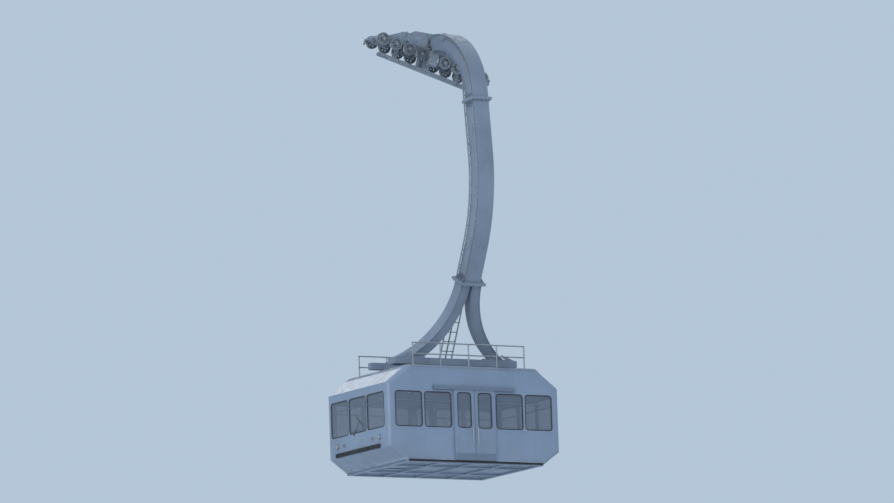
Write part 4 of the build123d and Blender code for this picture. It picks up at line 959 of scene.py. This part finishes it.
def panel_dress():
    """Cover strips over the joints between the cabin's panels, with their rivets, and the gutters."""
    strips = Piece("panel_strips", "cabin_paint")
    rivets = Piece("panel_rivets", "rail_aluminium")
    crossing, pitch = 0.0036, 0.095
    belt_z, low_seam_z, above_doors_z = -11.02, -11.40, -9.70

    def strip(corners, half, out, riveted=True, proud=0.0028):
        """Flat strip through corners on a wall facing out; one that crosses another is prouder."""
        path = [Vector(c) for c in corners]
        ways = [(b - a).normalized() for a, b in zip(path, path[1:])]
        frames = []
        for point, before, after in zip(path, ways[:1] + ways, ways + ways[-1:]):
            middle = (before + after).normalized()
            frames.append((point, out.cross(middle) / middle.dot(before), out))
        strips.swept(frames, [(-half, -0.002), (half, -0.002), (half, proud - 0.001),
                              (half - 0.003, proud), (0.003 - half, proud), (-half, proud - 0.001)])
        for a, b in zip(path, path[1:]) if riveted else ():
            count = round((b - a).length / pitch)
            for share in row(count, 0.5 / count, 1 / count):
                rivets.rivet(a.lerp(b, share) + out * (proud - 0.0002), out, 0.0055)

    gutter = [(0.0, 0.0), (0.016, 0.0), (0.016, 0.020), (0.012, 0.020), (0.012, 0.005), (0.0, 0.005)]
    for side in SIDES:
        wall, out = side * HALF_WIDTH, Y * side
        for end in SIDES:
            seam = offset_side(0.19, CEILING_Z + 0.02, FLOOR_Z - 0.02)
            strip([(end * x, wall, z) for x, z in seam], 0.020, out, proud=crossing)
            strip([(end * 0.70, wall, belt_z), (end * 2.68, wall, belt_z)], 0.014, out)
            strip([(end * 1.70, wall, belt_z - 0.02), (end * 1.70, wall, FLOOR_Z)], 0.014, out)
            strip([(end * 0.715, wall, FLOOR_Z), (end * 0.715, wall, -9.86)], 0.012, out, False, crossing)
        strip([(-2.02, wall, CEILING_Z), (2.02, wall, CEILING_Z)], 0.016, out)
        for x in (-1.35, 1.35):
            strip([(x, wall, above_doors_z), (x, wall, CEILING_Z - 0.02)], 0.014, out)
        strips.swept([(Vector((x, side * (HALF_WIDTH - 0.0005), ROOF_Z - 0.055)), out, Z) for x in (-2.1, 2.1)], gutter)
    for end in SIDES:
        wall, out = end * HALF_LENGTH, X * end
        for z in (belt_z, low_seam_z):
            strip([(wall, -1.66, z), (wall, 1.66, z)], 0.014, out)
        for y in (-0.538, 0.538):
            strip([(wall, y, belt_z - 0.02), (wall, y, low_seam_z + 0.02)], 0.014, out)
            strip([(wall, y, WINDOW_TOP_Z - 0.01), (wall, y, SILL_Z + 0.01)], 0.022, out, False)
        for (deep, high), edge_z, way, reach in ((UPPER_CUT, ROOF_Z, 1, 0.84), (LOWER_CUT, BOTTOM_Z, -1, 0.60)):
            start = Vector((wall, 0, edge_z - way * high))
            along = Vector((-end * deep, 0, way * high)).normalized()
            slant = along.cross(Y)
            slant *= copysign(1, slant.x * end)
            for y in (-1.05, 0.0, 1.05):
                strip([start + along * d + Y * y for d in (0.02, reach)], 0.014, slant)


def roof_dress():
    """Standing seams, anti-slip pads and the feet of the railings."""
    seams = Piece("roof_seams", "roof_paint", bevel=0.003)
    pads = Piece("roof_pads", "buffer_rubber")
    feet = Piece("railing_feet", "galvanised_steel")
    for x in (-1.95, -1.14, -0.60, 0.60, 1.14, 1.95):
        seams.bar(about(x, 0.007), (-1.74, 1.74), (ROOF_Z - 0.002, ROOF_Z + 0.012))
    for y, (x0, x1) in product((-1.25, 1.22), ((-1.88, -1.22), (-1.06, -0.68), (0.68, 1.06), (1.22, 1.88))):
        pad = outline_of(loop_frames(Vector(((x0 + x1) / 2, y, ROOF_Z)), (x1 - x0) / 2, 0.22, 0.04, X, Y))
        pads.rings([[p + Z * h for p in pad] for h in (-0.001, 0.004)])
        for x in row(int((x1 - x0) / 0.045), x0 + 0.04, 0.045):
            pads.bar(about(x, 0.010), about(y, 0.19), (ROOF_Z + 0.003, ROOF_Z + 0.0065))
    foot = [(0.055, 0), (0.055, 0.008), (0.030, 0.010), (0.026, 0.034), (0.021, 0.036)]
    collar = [(0.0235, 0), (0.0235, 0.010), (0.0205, 0.012), (0.0205, 0.0)]
    for y, x in product((-1.6, 1.6), (-1.881, -0.95, 0.0, 0.95, 1.881)):
        feet.turned(foot, moved(x, y, ROOF_Z), 24)
        for dx, dy in circle(4, 0.042, first=pi / 4):
            feet.bolt((x + dx, y + dy, ROOF_Z + 0.008), Z, 0.012, False)
        for z in (0.316, 0.647):
            feet.ring(collar, facing((x, y, ROOF_Z + z), Z), 16)


def equipment_dress():
    """Louvres, lid rim, latches and hold-down brackets of the roof box, and its conduits."""
    box = Piece("equipment_louvres", "equipment_paint", bevel=0.001)
    bits = Piece("equipment_fittings", "galvanised_steel", "bright_steel", bevel=0.001)
    lid, width = (ROOF_Z + 0.220, ROOF_Z + 0.259), (0.86, 1.38)
    for side, y in zip(SIDES, width):
        box.bar((-0.458, 0.458), (y - side * 0.006, y + side * 0.010), lid)
        for x, z in product((-0.21, 0.21), row(7, ROOF_Z + 0.055, 0.022)):
            blade = moved(x, y, z) @ rotated(side * 0.55, "X")
            box.bar((-0.13, 0.13), (-0.009, 0.009), (-0.0016, 0.0016), blade)
        for x in (-0.40, -0.02, 0.02, 0.40):
            bits.bar(about(x, 0.014), (y, y + side * 0.016), (ROOF_Z + 0.185, ROOF_Z + 0.230))
        for x in (-0.36, 0.36):
            box.bar(about(x, 0.03), (y - side * 0.002, y + side * 0.05), (ROOF_Z, ROOF_Z + 0.008))
            bits.bolt((x, y + side * 0.030, ROOF_Z + 0.008), Z, 0.018)
    for side in SIDES:
        box.bar((side * 0.447, side * 0.460), width, lid)
        y = 1.05 + side * 0.12
        run = [(side * 0.45, y, ROOF_Z + 0.06), (side * 0.52, y, ROOF_Z + 0.06), (side * 0.52, y, ROOF_Z - 0.01)]
        bits.tube(rounded_path(run, 0.045), 0.014, 12, Y)
    run = [(0.40, y, ROOF_Z + h) for y, h in ((0.862, 0.05), (0.80, 0.05), (0.80, 0.02), (0.02, 0.02))]
    bits.tube(rounded_path(run, 0.012), 0.011, 10)


def hatch_dress():
    """Raised lid panel, grips and catches of the roof hatch; tread and ring of the floor hatch."""
    lid = ROOF_Z + 0.1003
    middle = Vector((0, 0.30, lid))
    panel = Piece("roof_hatch_panel", "roof_paint", body="roof_hatch")
    rim = outline_of(loop_frames(middle, 0.27, 0.17, 0.05, X, Y))
    panel.rings([[p - Z * 0.001 for p in rim], [p + (middle - p) * 0.03 + Z * 0.007 for p in rim]])
    grips = Piece("roof_hatch_grips", "handrail_steel", body="roof_hatch", bevel=0.001)
    grips.tube(staple((-0.20, 0.22, lid), Z * 0.030, Y * 0.16, 0.018), 0.007, 10)
    for y in (0.16, 0.44):
        grips.bar((-0.352, -0.338), about(y, 0.02), (lid - 0.040, lid - 0.008))
        grips.turned([(0.011, 0), (0.011, 0.008), (0.006, 0.010)], facing((-0.352, y, lid - 0.02), -X), 16)
    tread = Piece("floor_hatch_tread", "floor_panel", "buffer_rubber", "floor_hatch")
    for x in row(9, -1.786, 0.072):
        tread.bar(about(x, 0.014), (-0.17, 0.17), (FLOOR_Z - 0.001, FLOOR_Z + 0.002))
    ring = Piece("floor_hatch_ring", "handrail_steel", body="floor_hatch")
    ring.tube(staple((-1.19, -0.07, FLOOR_Z), Z * 0.006, Y * 0.14, 0.004, 4), 0.004)


def underside_dress():
    """Pressed stiffeners, drains and bolted joints under the floor."""
    ribs = Piece("underside_ribs", "underframe_paint", bevel=0.0015)
    bolts = Piece("underside_bolts", "galvanised_steel")
    under, bolt_z = BOTTOM_Z + 0.06, BOTTOM_Z + 0.03
    hat = [(-0.040, 0.002), (0.040, 0.002), (0.028, -0.018), (-0.028, -0.018)]
    well = [(0.060, 0.001), (0.060, -0.006), (0.050, -0.010), (0.020, -0.010)]
    spout = [(0.016, 0.001), (0.016, -0.040), (0.012, -0.040), (0.012, -0.020)]
    for x0, x1 in ((-2.18, -1.16), (-1.04, -0.06), (0.06, 1.04), (1.16, 2.18)):
        for y in (-1.47, -1.02, -0.48, 0.48, 1.02, 1.47):
            ribs.swept([(Vector((x, y, under)), Y, Z) for x in (x0, x1)], hat)
        for y in (-1.245, 1.245):
            ribs.turned(well, moved((x0 + x1) / 2, y, under), 28)
            bolts.turned(spout, moved((x0 + x1) / 2 + 0.2, y, under), 14)
    for x, side, y, face in product((-1.1, 0.0, 1.1), SIDES, (0.62, 0.88, 1.62), SIDES):
        ribs.bar((x + face * 0.049, x + face * 0.056), about(side * y, 0.05), (BOTTOM_Z + 0.006, under - 0.004))
        for dy in (-0.028, 0.028):
            bolts.bolt((x + face * 0.056, side * (y + dy), bolt_z), X * face, 0.014)
    for side in SIDES:
        for x in row(15, -2.10, 0.3):
            bolts.bolt((x, side * 1.7002, bolt_z), Y * -side, 0.014)
        for y, (x, way) in product(row(11, -1.5, 0.3), ((2.1902, -side), (2.2998, side))):
            bolts.bolt((side * x, y, bolt_z), X * way, 0.014)


def rails_and_buffers():
    """Ribbed rubber in aluminium channels along the sides, and ridged buffers across the ends."""
    channels = Piece("rub_rail_channels", "rail_aluminium", bevel=0.001)
    inserts = Piece("rub_rail_inserts", "buffer_rubber", "damper_rubber", stands_for=("rub_rails",))
    buffers = Piece("buffer_rubbers", "buffer_rubber", stands_for=("end_buffers",))
    bolts = Piece("buffer_bolts", "galvanised_steel", "bright_steel")
    lip = [(0.0, 0.0315), (0.034, 0.0315), (0.034, 0.024), (0.008, 0.024)]
    channel = [(a, -b) for a, b in lip] + lip[::-1]
    bulb = [(0.046 + 0.048 * cos(a), 0.0305 * sin(a)) for a in row(13, radians(-62), radians(124 / 12))]
    bulb = [(0.006, -0.0245), *bulb, (0.006, 0.0245)]
    for side in SIDES:
        for piece, profile, reach in ((channels, channel, 2.25), (inserts, bulb, 2.242)):
            ends = [Vector((x, side * HALF_WIDTH, BOTTOM_Z + 0.0515)) for x in (-reach, reach)]
            piece.swept([(p, Y * side, Z) for p in ends], profile)
    ridged = [(0.0, -0.060), (0.024, -0.060)]
    for n, z in enumerate(row(5, -0.048, 0.024)):
        crown = 0.0479 + 0.012 * (1 - abs(n - 2) / 2.2)
        ridged += [(crown, z - 0.009), (crown + 0.002, z), (crown, z + 0.009)] + [(0.040, z + 0.012)] * (n < 4)
    ridged += [(0.024, 0.060), (0.0, 0.060)]
    middle = BOTTOM_Z + 0.51
    for end in SIDES:
        out = X * end
        buffers.swept([(Vector((end * HALF_LENGTH, y, middle)), out, Z) for y in (-1.3, -1.29, 1.29, 1.3)], ridged)
        for y in (-1.0, -0.5, 0.0, 0.5, 1.0):
            well = facing((end * 2.952, y, middle), out)
            bolts.turned([(0.014, -0.004), (0.014, 0.006), (0.010, 0.008)], well, 16)


def lamp_dress():
    """Headlamps: bezel, bowl, bulb shield and a fluted lens."""
    rims = Piece("lamp_rims", "rail_aluminium", "bright_steel", bevel=0.0008, stands_for=("headlamps",))
    bowls = Piece("lamp_bowls", "rail_aluminium", "reflector")
    lenses = Piece("lamp_lenses", "lamp_lens")
    bezel = [(0.0795, -0.002), (0.0795, 0.030), (0.076, 0.044), (0.068, 0.0445), (0.066, 0.036), (0.066, -0.002)]
    for end, y in product(SIDES, (-1.25, 1.25)):
        place = facing((end * HALF_LENGTH, y, BOTTOM_Z + 0.77), X * end)
        rims.ring(bezel, place, 48)
        bowls.turned([(0.066, 0.030), (0.058, 0.018), (0.044, 0.008), (0.020, 0.003)], place, 40)
        bowls.turned([(0.012, 0.002), (0.012, 0.022), (0.008, 0.026)], place, 20)
        lens = [(0.067, 0.033), (0.067, 0.036), (0.050, 0.0395), (0.025, 0.0415), (0.006, 0.042)]
        lenses.turned(lens, place, 48)
        for x in row(9, -0.048, 0.012):
            high = (0.062 ** 2 - x * x) ** 0.5 * 0.96
            lenses.bar(about(x, 0.003), (-high, high), (0.031, 0.0335), place)
        for dx, dy in circle(3, 0.0725, first=0.5):
            rims.bolt(place @ Vector((dx, dy, 0.044)), X * end, 0.005, False)


def door_dress(side, end):
    """Seals, edge rubber, pull handle and bottom kick plate of one door leaf."""
    name = f"{'far' if side > 0 else 'near'}_{'downhill' if end > 0 else 'uphill'}"
    body, out = f"door_{name}", Y * side
    skin, foot_z, top_z = DOOR_FACE - 0.0005, -11.905, -9.850
    seals = Piece(f"door_seals_{name}", "buffer_rubber", body=body)
    handle = Piece(f"door_handle_{name}", "handrail_steel", body=body)
    plates = Piece(f"door_plates_{name}", "rail_aluminium", body=body, bevel=0.0008)
    rivets = Piece(f"door_rivets_{name}", "rail_aluminium", "bright_steel", body)
    pane = Vector((end * 0.3465, side * DOOR_FACE, WINDOW_MID))
    frames = loop_frames(pane, 0.2235, WINDOW_HALF, WINDOW_ROUND, X * -side, Z)
    outer = [(-0.014, -0.001), (-0.014, 0.002), (0.008, 0.0034), (0.015, -0.004), (0.015, -0.0155), (-0.002, -0.0155)]
    inner = [(-0.002, -0.0265), (0.013, -0.0265), (0.013, -0.036), (-0.002, -0.0415)]
    for profile in (outer, inner):
        seals.swept(frames, profile, closed=True)
    edge = [(0.0, -0.018), (0.0024, -0.014), (0.0028, 0.0), (0.0024, 0.014), (0.0, 0.018)]
    seals.swept([(Vector((end * 0.0033, side * 1.831, z)), X * -end, Y) for z in (foot_z, top_z + 0.020)], edge)
    seals.bar((end * 0.006, end * 0.687), (side * 1.814, side * 1.848), (foot_z - 0.0035, foot_z - 0.0080))
    x, low, high = end * 0.085, -11.42, -10.98
    handle.tube(staple((x, side * (DOOR_FACE - 0.002), low), out * 0.034, Z * (high - low), 0.022), 0.009, 12)
    for z in (low, high):
        handle.turned([(0.020, 0), (0.020, 0.004), (0.012, 0.006)], facing((x, side * DOOR_FACE, z), out), 20)
    plates.bar((end * 0.02, end * 0.675), (side * skin, side * (skin + 0.0023)), (foot_z + 0.010, foot_z + 0.205))
    plates.bar((end * 0.004, end * 0.014), (side * skin, side * (skin + 0.0030)), (foot_z, top_z))
    for x, z in product(row(8, 0.045, 0.087), (foot_z + 0.025, foot_z + 0.190)):
        rivets.rivet((end * x, side * (skin + 0.0022), z), out, 0.005)
    for x in (0.115, 0.161, 0.532, 0.578):
        rivets.bolt((end * x, side * (DOOR_FACE - 0.002), top_z + 0.060), out, 0.012, False)


def door_rail_dress():
    """Drip strips, screws and brackets of the hoods, ribbed thresholds, and strips on the door posts."""
    trims = Piece("door_rail_trims", "rail_aluminium", bevel=0.001)
    screws = Piece("door_rail_screws", "rail_aluminium", "bright_steel")
    for side in SIDES:
        out = Y * side
        for x, (z, radius) in product(row(14, -1.30, 0.2), ((-9.752, 0.007), (-9.826, 0.005))):
            screws.rivet((x, side * HOOD_FACE, z), out, radius)
        trims.bar((-1.36, 1.36), (side * (HOOD_FACE - 0.001), side * (HOOD_FACE + 0.003)), (-9.800, -9.786))
        for x in (-1.0, -0.33, 0.33, 1.0):
            trims.bar(about(x, 0.02), (side * 1.799, side * 1.860), (-9.728, -9.722))
            trims.bar(about(x, 0.02), (side * 1.799, side * 1.806), (-9.728, -9.680))
            screws.bolt((x, side * 1.806, -9.698), out, 0.014)
        trims.bar((-0.648, 0.648), (side * 1.742, side * (HALF_WIDTH - 0.0005)), (FLOOR_Z - 0.001, FLOOR_Z + 0.004))
        for y in row(5, 1.7505, 0.011):
            trims.bar((-0.640, 0.640), about(side * y, 0.0025), (FLOOR_Z + 0.003, FLOOR_Z + 0.0062))
        for end in SIDES:
            trims.bar((end * 0.6495, end * 0.6455), (side * 1.742, side * 1.799), (FLOOR_Z + 0.005, -9.853))


def end_dress():
    """Wipers on the middle end windows, and towing eyes beside the lamps."""
    arms = Piece("wipers", "desk_plastic", "damper_rubber")
    eyes = Piece("towing_eyes", "galvanised_steel", bevel=0.001)
    eye_z = BOTTOM_Z + 0.76
    for end in SIDES:
        wall, out = end * HALF_LENGTH, X * end
        pivot = Vector((wall + end * 0.012, end * -0.22, SILL_Z - 0.045))
        tip = Vector((wall + end * 0.012, end * 0.10, SILL_Z + 0.33))
        across = Vector((0, -0.62, 0.78)).cross(out).normalized()
        arms.turned([(0.022, -0.014), (0.022, 0.004), (0.014, 0.012), (0.008, 0.013)], facing(pivot, out), 20)
        arms.tube(rounded_path([pivot, tip], 0), 0.005)
        for back, radius, sides in ((0.006, 0.006, 8), (0.012, 0.0035, 6)):
            blade = [tip + across * reach - out * back for reach in (-0.26, 0.26)]
            arms.tube(rounded_path(blade, 0), radius, sides)
        for y in (-0.85, 0.85):
            eyes.bar((wall - end * 0.002, wall + end * 0.006), about(y, 0.05), about(eye_z, 0.06))
            eyes.bar((wall, wall + end * 0.045), about(y, 0.008), about(eye_z, 0.035))
            for dy, z in product((-0.032, 0.032), about(eye_z, 0.035)):
                eyes.bolt((wall + end * 0.006, y + dy, z), out, 0.014, False)


def ceiling_dress():
    """Ceiling lights in their frames, and the flanges and collars of the grab poles."""
    lights = Piece("ceiling_lights", "equipment_paint", "light_strip", bevel=0.002)
    rims = Piece("ceiling_light_frames", "rail_aluminium")
    flanges = Piece("pole_flanges", "handrail_steel")
    depth = (CEILING_Z - 0.022, CEILING_Z + 0.001)
    for y, (x0, x1) in product((-0.35, 0.35), ((-1.32, -0.40), (0.40, 1.32))):
        lights.bar((x0 + 0.02, x1 - 0.02), about(y, 0.045), (CEILING_Z - 0.018, CEILING_Z + 0.001))
        for middle in (y - 0.052, y + 0.052):
            rims.bar((x0, x1), about(middle, 0.006), depth)
        for x in (x0, x1):
            rims.bar(about(x, 0.012), about(y, 0.058), depth)
    flange = [(0.045, 0), (0.045, 0.005), (0.022, 0.010), (0.0185, 0.010)]
    collar = [(0.0215, -0.024), (0.0215, 0.024), (0.019, 0.026), (0.019, -0.026)]
    for y in (-0.7, 0.7):
        for x in (-1.4, 1.4):
            flanges.turned(flange, moved(x, y, FLOOR_Z), 24)
            flanges.turned(flange, facing((x, y, CEILING_Z), -Z), 24)
            flanges.turned(collar, facing((x, y, FLOOR_Z + 2.05), X), 20)
        for x in (-1.882, 1.882):
            flanges.turned([(0.040, 0), (0.040, 0.005), (0.020, 0.009)], facing((x, y, CEILING_Z), -Z), 24)


def locker_and_desk():
    """Slotted locker doors with their pulls, and the desk's panel with its lever, buttons and dials."""
    locker = Piece("locker_doors", "locker_paint", bevel=0.0015)
    panel = Piece("desk_panel", "desk_plastic", bevel=0.002)
    fittings = Piece("desk_and_locker_fittings", "handrail_steel")
    foot = HALF_LENGTH - 0.6 * (1 - 0.12 / 0.43) - 0.16
    face = foot - 0.36
    for low, high in ((0.905, 1.196), (1.204, 1.495)):
        locker.bar((face - 0.010, face + 0.001), (low, high), (FLOOR_Z + 0.06, FLOOR_Z + 0.96))
        for z in row(5, FLOOR_Z + 0.78, 0.022):
            locker.bar((face - 0.013, face - 0.009), (low + 0.07, high - 0.07), (z, z + 0.010))
    for y in (1.170, 1.230):
        pull = staple((face - 0.009, y, FLOOR_Z + 0.48), X * -0.025, Z * 0.12, 0.010, 4)
        fittings.tube(pull, 0.005, 8, Y)
    desk = moved(0.18 - foot, 1.2, FLOOR_Z + 1.0) @ rotated(atan2(0.32, 0.36), "Y")
    panel.bar((-0.215, 0.215), (-0.275, 0.275), (-0.002, 0.006), desk)
    panel.bar((-0.150, -0.020), (-0.12, 0.12), (0.004, 0.022), desk)
    lever = desk @ moved(0.09, 0.17, 0)
    panel.turned([(0.050, 0.005), (0.046, 0.016), (0.030, 0.018)], lever, 28)
    panel.turned([(0.010, 0.010), (0.009, 0.085), (0.020, 0.095), (0.022, 0.112), (0.012, 0.122)], lever, 20)
    button = [(0.016, 0), (0.016, 0.004), (0.011, 0.005), (0.011, 0.012), (0.009, 0.013)]
    for y, x in product(row(4, -0.235, 0.075), (0.055, 0.115)):
        fittings.turned(button, desk @ moved(x, y, 0.005), 18)
    dial = [(0.038, 0.004), (0.038, 0.012), (0.034, 0.014), (0.032, 0.010)]
    for y in (-0.2, 0.2):
        fittings.turned(dial, desk @ moved(-0.09, y, 0), 28)


def wall_dress():
    """A flange at each leg of the wall rails, and strips low on the lining."""
    flanges = Piece("wall_rail_flanges", "handrail_steel")
    strips = Piece("kick_strips", "rail_aluminium", bevel=0.001)
    for side, end in product(SIDES, SIDES):
        face = side * (HALF_WIDTH - 0.06)
        for x in (0.776, 1.69, 2.604):
            leg = facing((end * x, face, FLOOR_Z + 0.95), Y * -side)
            flanges.turned([(0.028, 0), (0.028, 0.004), (0.014, 0.008)], leg, 20)
        for x, low, high in ((2.05, 0.002, 0.16), (2.66, 0.80, 0.83)):
            strips.bar((end * 0.66, end * x), (face, face - side * 0.003), (FLOOR_Z + low, FLOOR_Z + high))


main_beam_dress()
shaft_dress()
for end, x in zip(("uphill", "downhill"), BEAMS):
    beam_dress(end, x)
for number, x in enumerate(ROCKERS, 1):
    rocker_dress(number, x)
for number, x in enumerate(AXLES, 1):
    wheel_dress(number, x)
for dress in (brake_dress, unit_dress, drawbar_dress, weld_lines, splices, mast_lines, sleeve_dress,
              ladder_dress, leg_feet, frame_dress, window_dress, panel_dress, roof_dress,
              equipment_dress, hatch_dress, underside_dress, rails_and_buffers, lamp_dress):
    dress()
for side, end in product(SIDES, SIDES):
    door_dress(side, end)
for dress in (door_rail_dress, end_dress, ceiling_dress, locker_and_desk, wall_dress):
    dress()
for piece in Piece.every:
    piece.make()


# Camera, light and floor

AZIMUTH, ELEVATION, ROLL = radians(-30), radians(-8), radians(-2)
DISTANCE, LENS = 300.0, 410.0
AIM = Vector((0.0, -0.55, -5.55))
FLOOR_DEPTH, FLOOR_RADIUS = -47.6, 34

back = Vector((sin(AZIMUTH) * cos(ELEVATION), -cos(AZIMUTH) * cos(ELEVATION), sin(ELEVATION)))
camera = bpy.data.objects.new("camera", bpy.data.cameras.new("camera"))
bpy.context.collection.objects.link(camera)
camera.data.lens = LENS
camera.data.clip_end = 3000
camera.location = AIM + back * DISTANCE
camera.rotation_euler = ((-back).to_track_quat("-Z", "Y").to_matrix().to_4x4() @ rotated(ROLL, "Z")).to_euler()
bpy.context.scene.camera = camera

bpy.context.scene.view_settings.view_transform = "Standard"
overcast = bpy.data.worlds.new("overcast")
overcast.use_nodes = True
overcast.node_tree.nodes["Background"].inputs["Color"].default_value = (0.455, 0.565, 0.680, 1)
bpy.context.scene.world = overcast


def soft_light(name, place, size, power, colour):
    light = bpy.data.lights.new(name, "AREA")
    light.shape, light.size, light.energy, light.color = "DISK", size, power, colour
    lamp = bpy.data.objects.new(name, light)
    bpy.context.collection.objects.link(lamp)
    lamp.location = place
    lamp.rotation_euler = (Vector(place) - AIM).to_track_quat("Z", "Y").to_euler()


soft_light("behind_right", (26, 30, 22), 56, 10200, (1.0, 0.97, 0.92))
soft_light("front_left", (-34, -30, 6), 60, 10200, (0.95, 0.97, 1.0))

floor_mesh = bpy.data.meshes.new("floor")
floor_mesh.from_pydata([(x, y, FLOOR_DEPTH) for x, y in circle(96, FLOOR_RADIUS)], [], [list(range(96))])
floor = bpy.data.objects.new("floor", floor_mesh)
bpy.context.collection.objects.link(floor)
floor_look = Look()
pale = floor_look.mix(floor_look.noise(0.4, 3), (0.56, 0.58, 0.60), (0.62, 0.64, 0.66))
floor_mesh.materials.append(floor_look.finish(pale, 0.9))
